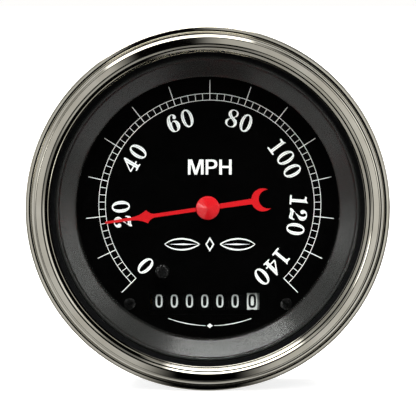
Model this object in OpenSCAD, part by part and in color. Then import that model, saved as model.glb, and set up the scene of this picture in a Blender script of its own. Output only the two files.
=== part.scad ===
// Mechanical dashboard speedometer with an odometer, for a round panel hole.
// Seen from the front, +X is to the right and +Z is up. +Y runs back into the dashboard.
// The origin is on the gauge's axis, in the plane of the panel that the bezel rests on.

/* [Can] */
// Outside radius of the can, which slides into the panel hole
can_r = 42.2; // [41.6:0.1:46]
// Thickness of the can's side wall
can_wall = 1; // [0.6:0.1:1.4]
// Distance from the panel's face to the outside of the can's back
can_depth = 53.2; // [52.8:0.2:60]
// Thickness of the can's back wall
can_back_t = 1.2; // [0.8:0.1:1.6]
// Width of the flange that is turned out at the can's mouth
can_flange_w = 3.1; // [2.6:0.1:3.2]
// Thickness of that flange
can_flange_t = 1.2; // [0.8:0.1:1.5]
// Radius of the rounded edge round the can's back
can_edge_r = 2; // [1:0.5:4]

/* [Bezel] */
// How far the bezel reaches over the panel beyond the can
bezel_reach = 4.3; // [4.1:0.1:6]
// Thickness of the lip that is crimped behind the can's flange
crimp_t = 0.8; // [0.5:0.1:1]
// Height of the bezel's flat outer flange in front of the panel
flange_h = 2.8; // [2.6:0.1:3.4]
// Width of the two rounded beads of the bezel
bead_w = 0.8; // [0.5:0.05:0.9]
// Width of the bezel's broad polished band
band_w = 2; // [1.5:0.1:2.1]
// How much the broad band rises from its outer edge to its inner edge
band_rise = 0.9; // [0.4:0.1:1.4]
// How far the bezel's lip reaches in over the glass
lip_reach = 2.4; // [2.2:0.1:3]
// Thickness of that lip at its edge
lip_t = 0.4; // [0.2:0.05:0.5]

/* [Glass and shroud] */
// Thickness of the glass
lens_t = 2.2; // [1.6:0.1:3]
// Thickness of the rubber ring behind the glass
gasket_t = 1; // [0.8:0.1:1.6]
// Width of that rubber ring
gasket_w = 3.3; // [2.5:0.1:3.4]
// Thickness of the shroud's metal at its flange
shroud_flange_t = 1.2; // [0.8:0.1:1.6]
// Thickness of the shroud's sloping wall
shroud_wall = 0.9; // [0.5:0.1:1.2]
// Radius of the rolled bead at the shroud's front edge
shroud_bead_r = 0.5; // [0.3:0.05:0.6]
// Radius of the shroud's opening at the dial
shroud_inner_r = 33.5; // [32.5:0.1:34.5]
// How far the shroud's wall bows out from a straight cone
shroud_bow = 0.9; // [0:0.1:1.4]

/* [Dial] */
// Distance of the dial's face behind the panel's plane
dial_y = 7; // [6.4:0.1:7.4]
// Thickness of the dial
dial_t = 0.8; // [0.5:0.1:1]
// Radius of the dial
dial_r = 37; // [35.5:0.1:38]
// Radius of the hole at the dial's centre
dial_hole_r = 2; // [1.2:0.1:3]
// Width of the odometer's window
window_w = 28.2; // [28:0.1:29]
// Height of the odometer's window
window_h = 5.5; // [5:0.1:6]
// Middle of the window, to the right of the gauge's axis
window_x = -0.95; // [-1.1:0.05:-0.8]
// Distance of each dial screw to the side of the axis
dial_screw_x = 20.1; // [19.8:0.1:21]
// Height of the dial screws, below the axis
dial_screw_drop = 24.8; // [24:0.1:25.6]
// Radius of a dial screw's head
dial_screw_head_r = 1.5; // [1.3:0.1:2]

/* [Pointer] */
// Direction of the pointer at rest, counter-clockwise from +X, in degrees
pointer_angle = 188.3; // [186:0.1:190]
// Distance from the axis to the pointer's tip
pointer_tip = 26.6; // [24:0.1:28]
// Distance of the pointer's front face behind the panel's plane
pointer_y = 3.2; // [2.8:0.1:3.6]
// Thickness of the pointer
pointer_t = 0.5; // [0.3:0.05:0.7]
// Distance from the axis to the broadest place of the pointer's spade
spade_x = 15.8; // [15:0.1:17]
// Half width of the spade
spade_half_w = 1.8; // [1.2:0.1:2.2]
// Half width of the pointer's arm
arm_half_w = 0.55; // [0.4:0.05:0.7]
// Half width of the pointer at its tip
tip_half_w = 0.3; // [0.2:0.05:0.4]
// Distance from the axis back to the centre of the crescent tail
tail_x = 14.2; // [13:0.1:15]
// Outer radius of the crescent tail
tail_r = 3; // [2.6:0.1:3.2]
// Radius of the round cut that opens the crescent
tail_cut_r = 2.46; // [2.1:0.02:2.5]
// Half width of the tail's arm
tail_half_w = 0.7; // [0.5:0.05:0.9]
// Radius of the cap over the pointer's hub
cap_r = 3.04; // [2.6:0.02:3.6]
// Height of the cap's cone
cap_cone_h = 1; // [0.6:0.1:1.6]
// Height of the cap's straight rim
cap_rim_h = 1; // [0.6:0.1:1.2]
// Radius of the spindle that carries the pointer
spindle_r = 0.6; // [0.5:0.05:0.8]
// Radius of the spindle's rear pivot
pivot_r = 0.4; // [0.3:0.05:0.45]
// Distance from the axis to the stop pin
stop_dist = 20.1; // [19.6:0.1:21]
// Direction of the stop pin, counter-clockwise from +X, in degrees
stop_angle = 234.6; // [233:0.1:236]
// Radius of the stop pin's head
stop_r = 1.8; // [1.2:0.1:2]

/* [Speed cup] */
// Radius of the turning magnet
magnet_r = 13.5; // [12:0.1:13.8]
// Thickness of the magnet
magnet_t = 5.9; // [5:0.1:6.2]
// Gap between the magnet and the drag cup round it
cup_gap = 1; // [0.6:0.1:1.2]
// Thickness of the drag cup's metal
cup_t = 0.5; // [0.3:0.05:0.6]
// Length of the drag cup
cup_len = 8; // [7.6:0.1:8.4]
// Gap between the drag cup and the fixed field cup round it
field_gap = 1.4; // [1:0.1:1.6]
// Thickness of the field cup's metal
field_t = 1.2; // [0.8:0.1:1.3]
// Number of turns of the hairspring
spring_turns = 4.5; // [3.5:1:5.5]
// Outer radius of the hairspring
spring_r = 6; // [5.5:0.1:6.5]
// Thickness of the hairspring's strip
spring_t = 0.15; // [0.1:0.01:0.2]
// Width of the hairspring's strip
spring_w = 0.8; // [0.6:0.1:0.9]

/* [Odometer wheels] */
// Outer radius of the number wheels
wheel_r = 6.35; // [6.2:0.01:6.4]
// Distance between neighbouring mile wheels
wheel_pitch = 3.9; // [3.88:0.01:3.92]
// Width of a mile wheel
wheel_w = 3; // [2.95:0.01:3.05]
// Width of the tenths wheel
tenths_w = 3.5; // [3.4:0.02:3.54]
// Middle of the window and of the wheels' axle, below the gauge's axis
axle_drop = 24.7; // [24.6:0.05:25]
// Radius of the axle that the number wheels turn on
axle_r = 1.2; // [1:0.05:1.4]
// Radius of the thin axle that the carry pinions turn on
carry_axle_r = 0.6; // [0.5:0.05:0.7]
// Distance from the dial's back to the number wheels
wheel_gap = 0.55; // [0.5:0.05:0.8]
// Tooth module of the carry pinions and of the wheels' side rings
carry_mod = 0.52; // [0.515:0.001:0.525]

/* [Gear train] */
// Tooth module of the worms, worm wheels and spur gears
gear_mod = 0.5; // [0.49:0.005:0.51]
// Play that is taken off each side of a tooth
tooth_play = 0.09; // [0.06:0.01:0.12]
// Pitch radius of the two worms
worm_r = 3.2; // [3:0.05:3.3]
// Length of the two worms
worm_len = 5.5; // [5:0.1:6]
// Width of the two worm wheels
worm_wheel_w = 2.4; // [2:0.1:3]
// Width of the three spur gears
spur_w = 1.5; // [1.2:0.1:1.6]
// Radius of the input shaft's front part
shaft_front_r = 1.8; // [1.6:0.05:1.9]
// Radius of the input shaft's rear part
shaft_rear_r = 2.5; // [2.3:0.05:2.8]
// Width of the square socket for the drive cable
drive_square = 2.7; // [2.5:0.05:2.8]
// Depth of that socket
drive_depth = 9; // [6:0.5:10]
// Radius of the upright cross shaft
cross_r = 1.5; // [1.2:0.05:1.7]
// Radius of the layshaft
lay_r = 1.2; // [1:0.05:1.3]

/* [Frame] */
// Thickness of the frame's back plate
plate_t = 2.5; // [2:0.1:3]
// Length of the feet between that plate and the can's back
foot_len = 3.5; // [3.2:0.1:3.9]
// Thickness of the two arms beside the number wheels
arm_t = 1.6; // [1.2:0.1:1.7]
// Outer radius of the tower round the input shaft
tower_r = 8; // [7.6:0.1:8.6]
// Radius of the round posts of the frame
post_r = 2.5; // [2.3:0.1:2.6]
// Distance of each bridge post to the side of the axis
bridge_post_x = 21.5; // [21:0.1:23]
// Height of the bridge posts above the axis
bridge_post_z = 6; // [5:0.1:7]
// Thickness of the bridge plate
bridge_t = 1.4; // [1:0.1:1.6]

/* [Back fittings] */
// Outer radius of the threaded cable fitting
ferrule_r = 7.9375; // [7.5:0.0125:9]
// Length of the cable fitting behind the can
ferrule_len = 14.8; // [13:0.1:18]
// Radius of the seat for the drive cable's end
cable_seat_r = 4.2; // [4:0.1:4.6]
// Depth of that seat
cable_seat_len = 5.5; // [4:0.1:6]
// Radius of the bracket studs
stud_r = 2.4; // [2:0.05:3]
// Length of the bracket studs behind the can
stud_len = 18; // [12:0.5:26]
// Distance between the two bracket studs
stud_spacing = 50.8; // [48:0.1:54]
// Distance of each lamp to the side of the axis
lamp_x = 18; // [17:0.1:20]
// Height of the lamps above the axis
lamp_z = 20; // [19.5:0.1:22]
// Radius of a lamp holder's body
lamp_body_r = 5.4; // [5:0.1:5.8]
// Length of a lamp holder's body in front of the can's back
lamp_body_len = 10; // [8:0.5:12]
// Radius of the socket in a lamp holder
lamp_socket_r = 3.3; // [3:0.1:3.6]
// Radius of a bulb
bulb_r = 4; // [3.6:0.1:4.6]
// Distance from the can's back to a bulb's front
bulb_reach = 19; // [17:0.5:22]

/* [Hidden] */
$fn = 96;

// Gap between pieces that are pressed together, and gap round what turns or is put together by hand
press_gap = 0.02;
run_gap = 0.05;
hand_gap = 0.1;

// Places along the gauge's axis, from the front to the back
crimp_y = -crimp_t;
can_flange_y = crimp_y - can_flange_t;
shroud_flange_y = can_flange_y - shroud_flange_t;
gasket_y = shroud_flange_y - gasket_t;
lens_y = gasket_y - lens_t;
dial_back = dial_y + dial_t;
bridge_space = 1.8;
bridge_y = dial_back + bridge_space;
bridge_back = bridge_y + bridge_t;
regulator_t = 0.4;
stud_angle = 40;
spring_space = 0.9;
spring_y = bridge_back + spring_space;
collet_space = 0.6;
collet_y = bridge_back + collet_space;
collet_len = 1.6;
collet_r = 1.6;
cup_space = 3;
cup_y = bridge_back + cup_space;
nose_space = 1.2;
shaft_nose_y = cup_y + nose_space;
magnet_space = 1.6;
magnet_y = cup_y + magnet_space;
magnet_back = magnet_y + magnet_t;
hub_flange_t = 0.7;
hub_flange_r = 6;
hub_sleeve_r = 3;
field_space = 1.7;
field_back = cup_y + cup_len + field_space;
cup_r = magnet_r + cup_gap + cup_t;
field_r = cup_r + field_gap + field_t;
spigot_r = 5;
tower_y = field_back;
tower_ring_len = 7.3;
tower_ring_back = tower_y + tower_ring_len;
can_inner_back = can_depth - can_back_t;
plate_back = can_inner_back - foot_len;
socket_foot = can_inner_back - 2;
plate_y = plate_back - plate_t;

// Radii of the front rings
bore_r = can_r + 0.25;
crimp_gap = 1;
bezel_r = can_r + bezel_reach;
flange_pocket_r = can_r + can_flange_w + hand_gap;
lip_r = bore_r - lip_reach;
lens_r = bore_r - 0.15;
bead_r = bead_w / 2;
inner_bead_x = lip_r + 1.1;
band_in = inner_bead_x + bead_r;
band_out = band_in + band_w;
outer_bead_x = band_out + 0.05 + bead_r;

// Shafts and gears, from the number wheels back to the input shaft
axle_y = dial_back + wheel_gap + wheel_r;
axle_z = -axle_drop;
tenths_teeth = 24;
idler_teeth = 12;
cross_teeth = 20;
lay_teeth = 25;
idler_y = axle_y + (tenths_teeth + idler_teeth) / 2 * gear_mod;
lay_y = idler_y + idler_teeth * gear_mod;
cross_x = worm_r + cross_teeth / 2 * gear_mod;
cross_y = lay_y + worm_r + lay_teeth / 2 * gear_mod;
worm_pitch = PI * gear_mod;

// How far the crescent's round cut lies behind the tail's own centre
tail_cut_shift = 1.45;

// Carry pinions stand behind and below the number wheels, at this angle from +Y towards +Z
ring_teeth = 20;
pinion_teeth = 8;
carry_angle = -45;
carry_dist = (ring_teeth + pinion_teeth) / 2 * carry_mod;
carry_y = axle_y + carry_dist * cos(carry_angle);
carry_z = axle_z + carry_dist * sin(carry_angle);
pinion_tip = 0.37 * carry_mod;
side_ring_t = (wheel_pitch - wheel_w - hand_gap) / 2;
lock_rim_r = 5.6;
carry_notch = 72;

// Middles of the number wheels along the axle, from the left
tenths_x = window_x + 11.82;
function wheel_mid(i) = tenths_x - tenths_w / 2 - (wheel_pitch - wheel_w / 2) - (6 - i) * wheel_pitch;
spur_x = tenths_x + tenths_w / 2 + 0.58;
arm_right_x = spur_x + spur_w + 0.6;
arm_left_x = wheel_mid(1) - wheel_w / 2 - 0.72;
arm_y = dial_back + 0.8;
web_y = axle_y + axle_r + 2.2;
arm_top = axle_z + 7.7;
arm_bottom = axle_z - 8.3;
lug_x = cross_x - 6.7;
lug_t = 2.2;
clip_t = 0.4;

// Upright cross shaft: its lugs, and the worm at the height of the layshaft
upper_lug_z = 5;
lower_lug_z = axle_z - 4.8;
lug_h = 3;
cross_bush_r = cross_r + 0.9;

// The studs are thicker where they are pressed into the can's back
stud_seat_r = stud_r + 0.4;

foot_places = [[0, 17], [-14, -20], [14, -20]];
slot_w = 0.5;
slot_depth = 0.4;

// Points of a round stretch about the point c, of radius r, from angle a to angle b
function arc(c, r, a, b, n = 8) = [for (i = [0:n]) let (t = a + (b - a) * i / n) c + r * [cos(t), sin(t)]];

// Points of a bowed stretch from p to q, which stands out to the left of that line by the height h
function bow(p, q, h, n = 12) = let (d = q - p, side = [-d.y, d.x] / norm(d))
  [for (i = [0:n]) let (t = i / n) p + d * t + side * 4 * h * t * (1 - t)];

// Half the angle of a gear tooth at the radius r, with straight flanks of 20 degrees
function tooth_half(r, pitch_r, mod) = (PI * mod / 4 - tooth_play - (r - pitch_r) * tan(20)) / r * 180 / PI;

// Outline of a gear whose first tooth points along +X
function gear_outline(teeth, mod, tip) = let (
    pitch_r = teeth * mod / 2,
    tip_r = pitch_r + tip,
    root_r = pitch_r - 1.25 * mod,
    tip_a = tooth_half(tip_r, pitch_r, mod),
    root_a = min(tooth_half(root_r, pitch_r, mod), 0.46 * 360 / teeth))
  [for (i = [0:teeth - 1], corner = [[root_r, -root_a], [tip_r, -tip_a], [tip_r, tip_a], [root_r, root_a]])
    let (a = i * 360 / teeth + corner.y) corner.x * [cos(a), sin(a)]];

// Outline of a worm cut across its axis: its crest points along +X
function worm_reach(a) = let (
    off = abs(a) / 360 * worm_pitch,
    tip_half = worm_pitch / 4 - tooth_play - gear_mod * tan(20),
    root_half = tip_half + 2.25 * gear_mod * tan(20),
    t = min(1, max(0, (off - tip_half) / (root_half - tip_half))))
  worm_r + gear_mod * (1 - 2.25 * t);
worm_sides = 18;
worm_outline = [for (i = [0:worm_sides - 1]) let (a = i * 360 / worm_sides - 180)
  worm_reach(a) * [cos(a), sin(a)]];

// A round bar along Y, and one along X at the place y, z
module bar_y(r, y0, y1) {
  translate([0, y0, 0]) rotate([-90, 0, 0]) cylinder(r = r, h = y1 - y0);
}
module bar_x(r, x0, x1, y, z) {
  translate([x0, y, z]) rotate([90, 0, 90]) cylinder(r = r, h = x1 - x0);
}

// A ring about the gauge's axis, from an outline of radius and Y
module turned(outline) {
  rotate([-90, 0, 0]) rotate_extrude() polygon(outline);
}

// A plate of thickness t whose front face is at y0, drawn in X and Z
module plate(y0, t) {
  translate([0, y0 + t, 0]) rotate([90, 0, 0]) linear_extrude(t) children();
}

// A flat piece drawn in Y and Z, from x0 to x0 + t, about the point y, z
module slice(x0, t, y, z) {
  translate([x0, y, z]) rotate([90, 0, 90]) linear_extrude(t) children();
}

// A slotted screw along +Y whose head rests on the plane y0
module screw(head_r, head_t, shank_r, shank_len, y0) {
  difference() {
    union() {
      bar_y(head_r, y0 - head_t, y0);
      bar_y(shank_r, y0 - head_t / 2, y0 + shank_len);
    }
    translate([-head_r - 1, y0 - head_t - 1, -slot_w / 2]) cube([2 * head_r + 2, 1 + slot_depth, slot_w]);
  }
}

// A worm along +Z whose crest points along +X halfway up; hand is 1 for a right-hand thread
module worm(hand, hole_r) {
  half_turn = hand * 180 * worm_len / worm_pitch;
  difference() {
    rotate(-half_turn)
      linear_extrude(worm_len, twist = -2 * half_turn, slices = 56, $fn = worm_sides) polygon(worm_outline);
    translate([0, 0, -1]) cylinder(r = hole_r, h = worm_len + 2);
  }
}

module bezel() {
  outer_edge = 1.3;
  step_x = outer_bead_x + bead_r;
  outline = concat(
    [[bezel_r, 0]],
    [for (p = arc([bezel_r - outer_edge, flange_h - outer_edge], outer_edge, 0, 90)) [p.x, -p.y]],
    [[step_x + 0.5, -flange_h], [step_x + 0.25, 0.3 - flange_h], [step_x, 0.1 - flange_h]],
    [for (p = arc([outer_bead_x, flange_h + 1.8], bead_r, 0, 180)) [p.x, -p.y]],
    [[band_out, lens_y - 0.2], [band_out - 0.05, lens_y - 0.3], [band_in, lens_y - 0.3 - band_rise]],
    [for (p = arc([inner_bead_x, 0.35 + band_rise - lens_y], bead_r, 0, 180)) [p.x, -p.y]],
    [[inner_bead_x - bead_r, lens_y - 0.9], [lip_r + 0.4, lens_y - lip_t - 0.15]],
    [for (p = arc([lip_r + lip_t / 2, lip_t / 2 - lens_y], lip_t / 2, 80, 180)) [p.x, -p.y]],
    [[lip_r, lens_y], [bore_r, lens_y], [bore_r, can_flange_y], [flange_pocket_r, can_flange_y],
     [flange_pocket_r, crimp_y], [can_r + crimp_gap, crimp_y], [can_r + crimp_gap, 0]]);
  color("#b9b6aa") turned(outline);
}

module lens() {
  edge = 0.3;
  back = lens_y + lens_t;
  color("#dfeaf0", 0.3) turned([[0, lens_y], [lens_r - edge, lens_y], [lens_r, lens_y + edge],
    [lens_r, back - edge], [lens_r - edge, back], [0, back]]);
}

module lens_gasket() {
  color("#141414") turned([[lens_r - gasket_w, gasket_y], [lens_r, gasket_y],
    [lens_r, shroud_flange_y], [lens_r - gasket_w, shroud_flange_y]]);
}

module shroud_ring() {
  bead_x = lens_r - gasket_w - 0.1 - shroud_bead_r;
  wall_top = [bead_x - shroud_bead_r, shroud_flange_y + 0.3];
  wall_foot = [shroud_inner_r, dial_y - run_gap - 0.25];
  outline = concat(
    [[lens_r, can_flange_y], [lens_r, shroud_flange_y]],
    [for (p = arc([bead_x, -shroud_flange_y], shroud_bead_r, 0, 180)) [p.x, -p.y]],
    bow(wall_top, wall_foot, -shroud_bow),
    [[shroud_inner_r, dial_y - run_gap], [shroud_inner_r + shroud_wall, dial_y - run_gap]],
    bow([shroud_inner_r + shroud_wall, dial_y - run_gap - 0.25],
      [wall_top.x + shroud_wall + 0.1, can_flange_y + 0.2], shroud_bow),
    [[wall_top.x + shroud_wall + 0.1, can_flange_y]]);
  color("#3a3a39") difference() {
    turned(outline);
    for (side = [-1, 1]) translate([side * dial_screw_x, 0, -dial_screw_drop])
      bar_y(dial_screw_head_r + run_gap, dial_y - 1, dial_y);
  }
}

module dial() {
  color("#0b0b0b") plate(dial_y, dial_t) difference() {
    circle(dial_r);
    translate([window_x, axle_z]) square([window_w, window_h], center = true);
    circle(dial_hole_r);
    for (side = [-1, 1]) translate([side * dial_screw_x, -dial_screw_drop]) circle(1.05);
    rotate(stop_angle) translate([stop_dist, 0]) circle(0.85);
  }
}

module dial_screws() {
  color("#1c1c1c") for (side = [-1, 1])
    translate([side * dial_screw_x, 0, -dial_screw_drop]) screw(dial_screw_head_r, 0.7, 0.95, 6, dial_y);
}

module pointer_stop() {
  dome = 0.8;
  top = pointer_y - 0.6;
  place = stop_dist * [cos(stop_angle), sin(stop_angle)];
  color("#161616") translate([place.x, 0, place.y]) turned(concat(
    [[0, dial_back + 0.5], [0.8, dial_back + 0.5], [0.8, dial_y], [stop_r, dial_y]],
    arc([stop_r - dome, top + dome], dome, 0, -90),
    [[0, top]]));
}

// The pointer's front outline, drawn pointing along +X
module pointer_outline() {
  spade_out = [for (p = bow([spade_x, spade_half_w], [spade_x + 4.2, arm_half_w - 0.13], -0.36, 6))
    if (p.x > spade_x) p];
  half = concat(
    [[0, arm_half_w]],
    bow([spade_x - 1.9, arm_half_w], [spade_x, spade_half_w], -0.22, 6),
    spade_out,
    [[pointer_tip - 0.3, tip_half_w], [pointer_tip, tip_half_w / 2]]);
  polygon(concat(half, [for (i = [len(half) - 1:-1:0]) [half[i].x, -half[i].y]]));
  tail_arm = tail_x + tail_cut_shift - tail_cut_r - 0.4;
  translate([-tail_arm, -tail_half_w]) square([tail_arm, 2 * tail_half_w]);
  difference() {
    translate([-tail_x, 0]) circle(tail_r);
    translate([-tail_x - tail_cut_shift, 0]) circle(tail_cut_r);
  }
}

module pointer() {
  hub_back = dial_y - 2;
  color("#d81f2a") difference() {
    union() {
      plate(pointer_y, pointer_t) rotate(pointer_angle) pointer_outline();
      bar_y(2.2, pointer_y, hub_back);
    }
    bar_y(spindle_r + press_gap, pointer_y - 1, hub_back + 1);
  }
}

module pointer_cap() {
  rim_y = pointer_y - cap_rim_h;
  apex_y = rim_y - cap_cone_h;
  color("#e2232e") turned([[0, apex_y], [0.25, apex_y + 0.02], [cap_r - 0.15, rim_y - 0.08],
    [cap_r, rim_y + 0.1], [cap_r, pointer_y], [0, pointer_y]]);
}

module pointer_spindle() {
  color("#b8bcc0") {
    bar_y(spindle_r, pointer_y, shaft_nose_y - 0.3);
    bar_y(pivot_r, shaft_nose_y - 0.3, shaft_nose_y + 3);
    bar_y(1.5, cup_y - 0.7, cup_y);
  }
}

module speed_cup() {
  back = cup_y + cup_len;
  inner = cup_r - cup_t;
  color("#c9ccd0") turned([[spindle_r + press_gap, cup_y], [inner - 0.3, cup_y], [cup_r, cup_y + 0.8],
    [cup_r, back], [inner, back], [inner, cup_y + 0.8 + cup_t / 2], [inner - 0.5, cup_y + cup_t + 0.1],
    [spindle_r + press_gap, cup_y + cup_t + 0.1]]);
}

module hairspring_collet() {
  color("#c8a24a") difference() {
    bar_y(collet_r, collet_y, collet_y + collet_len);
    bar_y(spindle_r + press_gap, collet_y - 1, collet_y + collet_len + 1);
  }
}

// The flat spiral: its inner end lies on the collet, and its outer end points to the stud
module hairspring() {
  steps = 36 * spring_turns;
  inner_r = collet_r + press_gap + spring_t / 2;
  grow = (spring_r - inner_r) / steps;
  function spiral(side) = [for (i = [0:steps])
    let (a = stud_angle - 360 * spring_turns + i * 10, r = inner_r + grow * i + side * spring_t / 2)
    r * [cos(a), sin(a)]];
  outer = spiral(1);
  inner = spiral(-1);
  color("#d7dadd") plate(spring_y, spring_w)
    polygon(concat(outer, [for (i = [steps:-1:0]) inner[i]]));
}

module spring_regulator() {
  stud_x = spring_r + spring_t / 2 + run_gap + 0.5;
  color("#c8a24a") {
    plate(bridge_back, regulator_t) difference() {
      rotate(stud_angle) union() {
        circle(3.4);
        translate([0, -0.8]) square([stud_x, 1.6]);
        translate([stud_x, 0]) circle(1);
      }
      circle(2 + press_gap);
    }
    rotate([0, -stud_angle, 0]) translate([stud_x, 0, 0])
      bar_y(0.5, bridge_back + 0.1, spring_y + spring_w + 0.3);
  }
}

module bridge_plate() {
  color("#a9adb1") plate(bridge_y, bridge_t) difference() {
    union() {
      circle(8);
      translate([-bridge_post_x, bridge_post_z - 3.5]) square([2 * bridge_post_x, 7]);
      for (side = [-1, 1]) translate([side * bridge_post_x, bridge_post_z]) circle(3.5);
    }
    circle(2 + press_gap);
    for (side = [-1, 1]) translate([side * bridge_post_x, bridge_post_z]) circle(1.3);
  }
}

module bridge_bush() {
  color("#c8a24a") turned([[spindle_r + run_gap, bridge_y - 0.5], [3, bridge_y - 0.5], [3, bridge_y],
    [2, bridge_y], [2, bridge_back + regulator_t], [spindle_r + run_gap, bridge_back + regulator_t]]);
}

module bridge_screws() {
  color("#8b8f94") for (side = [-1, 1])
    translate([side * bridge_post_x, 0, bridge_post_z]) screw(2.2, 1.1, 1.15, 7, bridge_y);
}

module field_cup() {
  inner = field_r - field_t;
  disc_y = field_back - field_t;
  edge = 0.8;
  color("#9a9ea3") difference() {
    turned([[spigot_r, disc_y], [inner, disc_y], [inner, cup_y], [field_r, cup_y],
      [field_r, field_back - edge], [field_r - edge, field_back], [spigot_r, field_back]]);
    bar_x(wheel_r + 3 * hand_gap, arm_left_x, arm_right_x, axle_y, axle_z);
  }
}

// Outline of the frame's back plate, in X and Z
module frame_outline() {
  circle(12);
  translate([-bridge_post_x, bridge_post_z - 3.5]) square([2 * bridge_post_x, 7]);
  for (side = [-1, 1]) translate([side * bridge_post_x, bridge_post_z]) circle(3.5);
  translate([foot_places[0].x - 4, 0]) square([8, foot_places[0].y]);
  translate(foot_places[0]) circle(4);
  translate([arm_left_x - arm_t, arm_bottom]) square([arm_right_x - arm_left_x + 2 * arm_t, -arm_bottom]);
}

module frame_arm(x) {
  translate([x, arm_y, arm_bottom]) cube([arm_t, plate_y + 1 - arm_y, arm_top - arm_bottom]);
}

// The tower round the input shaft is open on the side of the cross shaft
module frame_tower() {
  difference() {
    union() {
      bar_y(tower_r, tower_y, plate_y + 1);
      bar_y(spigot_r - press_gap, tower_y - 0.8, tower_y + 1);
    }
    bar_y(spigot_r, tower_ring_back, plate_y + 0.01);
    translate([cross_x - cross_r - 1.9, tower_ring_back, -tower_r - 1])
      cube([tower_r, plate_y - tower_ring_back, 2 * tower_r + 2]);
    translate([1.5, tower_ring_back + 1, -3.5]) cube([tower_r, plate_y - tower_ring_back - 2, 7]);
  }
}

module mainframe() {
  color("#8e9195") difference() {
    union() {
      plate(plate_y, plate_t) frame_outline();
      frame_tower();
      frame_arm(arm_right_x);
      frame_arm(arm_left_x - arm_t);
      for (side = [-1, 1]) {
        translate([side * dial_screw_x, 0, -dial_screw_drop]) bar_y(post_r, dial_back, plate_y + 1);
        translate([side * bridge_post_x, 0, bridge_post_z]) bar_y(post_r, bridge_back, plate_y + 1);
      }
      for (x = [arm_right_x + 0.5, -dial_screw_x])
        translate([x, web_y, -dial_screw_drop - 1.5])
          cube([dial_screw_x - min(arm_right_x, -arm_left_x) - 0.5, plate_back - web_y, 3]);
      translate([lug_x, lay_y - 3.5, axle_z - 3.5]) cube([lug_t, plate_y + 1 - lay_y + 3.5, 7]);
      for (z = [upper_lug_z, lower_lug_z - lug_h])
        translate([cross_x - 3.5, cross_y - 3.5, z]) cube([7, plate_y + 1 - cross_y + 3.5, lug_h]);
      for (p = foot_places) translate([p.x, 0, p.y]) bar_y(3, plate_y + 1, can_inner_back);
    }
    bar_y(shaft_rear_r + 1, tower_y - 2, plate_back + 1);
    for (z = [upper_lug_z, lower_lug_z - lug_h])
      translate([cross_x, cross_y, z - 1]) cylinder(r = cross_bush_r + press_gap, h = lug_h + 2);
    bar_x(axle_r + press_gap, arm_left_x - arm_t - 1, arm_right_x + arm_t + 1, axle_y, axle_z);
    bar_x(carry_axle_r + press_gap, arm_left_x - arm_t - 1, arm_right_x + arm_t + 1, carry_y, carry_z);
    bar_x(axle_r + press_gap, arm_right_x - 1, arm_right_x + arm_t + 1, idler_y, axle_z);
    bar_x(lay_r + run_gap, lug_x - 1, arm_right_x + arm_t + 1, lay_y, axle_z);
    for (side = [-1, 1]) {
      translate([side * dial_screw_x, 0, -dial_screw_drop]) bar_y(1, dial_back - 1, dial_back + 8);
      translate([side * bridge_post_x, 0, bridge_post_z]) bar_y(1.2, bridge_back - 1, bridge_back + 8);
    }
    for (p = foot_places) translate([p.x, 0, p.y]) bar_y(1.5, can_inner_back - 7, can_inner_back + 1);
  }
}

module shaft_bushes() {
  outer = shaft_rear_r + 1 - press_gap;
  flange_t = 0.5;
  color("#b98d3e") {
    turned([[shaft_front_r + run_gap, tower_y - 0.8], [outer, tower_y - 0.8], [outer, tower_ring_back],
      [outer + 0.9, tower_ring_back], [outer + 0.9, tower_ring_back + flange_t],
      [shaft_front_r + run_gap, tower_ring_back + flange_t]]);
    turned([[shaft_rear_r + run_gap, plate_y - flange_t], [outer + 0.9, plate_y - flange_t],
      [outer + 0.9, plate_y], [outer, plate_y], [outer, plate_back + 1],
      [shaft_rear_r + run_gap, plate_back + 1]]);
  }
}

module cross_bushes() {
  flange_r = cross_bush_r + 0.7;
  flange_t = 0.5;
  outline = [[cross_r + run_gap, -flange_t], [flange_r, -flange_t], [flange_r, 0], [cross_bush_r, 0],
    [cross_bush_r, lug_h], [cross_r + run_gap, lug_h]];
  color("#b98d3e") translate([cross_x, cross_y, 0]) {
    translate([0, 0, upper_lug_z]) rotate_extrude() polygon(outline);
    translate([0, 0, lower_lug_z]) mirror([0, 0, 1]) rotate_extrude() polygon(outline);
  }
}

module input_shaft() {
  collar_r = shaft_rear_r + 1.1;
  front_collar_y = tower_ring_back + 0.8;
  rear_collar_y = plate_y - 0.8;
  end_y = can_depth + ferrule_len - cable_seat_len - 0.5;
  color("#9da1a6") difference() {
    union() {
      bar_y(shaft_front_r, shaft_nose_y, rear_collar_y - 1);
      bar_y(collar_r, front_collar_y, front_collar_y + 1.2);
      bar_y(collar_r, rear_collar_y - 1.2, rear_collar_y);
      bar_y(shaft_rear_r, rear_collar_y - 0.1, end_y);
    }
    bar_y(pivot_r + run_gap, shaft_nose_y - 1, shaft_nose_y + 3.4);
    translate([-drive_square / 2, end_y - drive_depth, -drive_square / 2])
      cube([drive_square, drive_depth + 1, drive_square]);
  }
}

module drive_worm() {
  color("#7f8388") translate([0, cross_y - worm_len / 2, 0]) rotate([-90, 0, 0])
    worm(-1, shaft_front_r + press_gap);
}

module magnet_hub() {
  bore = shaft_front_r + press_gap;
  color("#c8a24a") turned([[bore, magnet_y], [hub_sleeve_r, magnet_y], [hub_sleeve_r, magnet_back],
    [hub_flange_r, magnet_back], [hub_flange_r, magnet_back + hub_flange_t],
    [bore, magnet_back + hub_flange_t]]);
}

module drag_magnet() {
  edge = 0.5;
  hole = hub_sleeve_r + press_gap;
  color("#4a4d52") turned([[hole, magnet_y], [magnet_r - edge, magnet_y], [magnet_r, magnet_y + edge],
    [magnet_r, magnet_back - edge], [magnet_r - edge, magnet_back], [hole, magnet_back]]);
}

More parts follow.
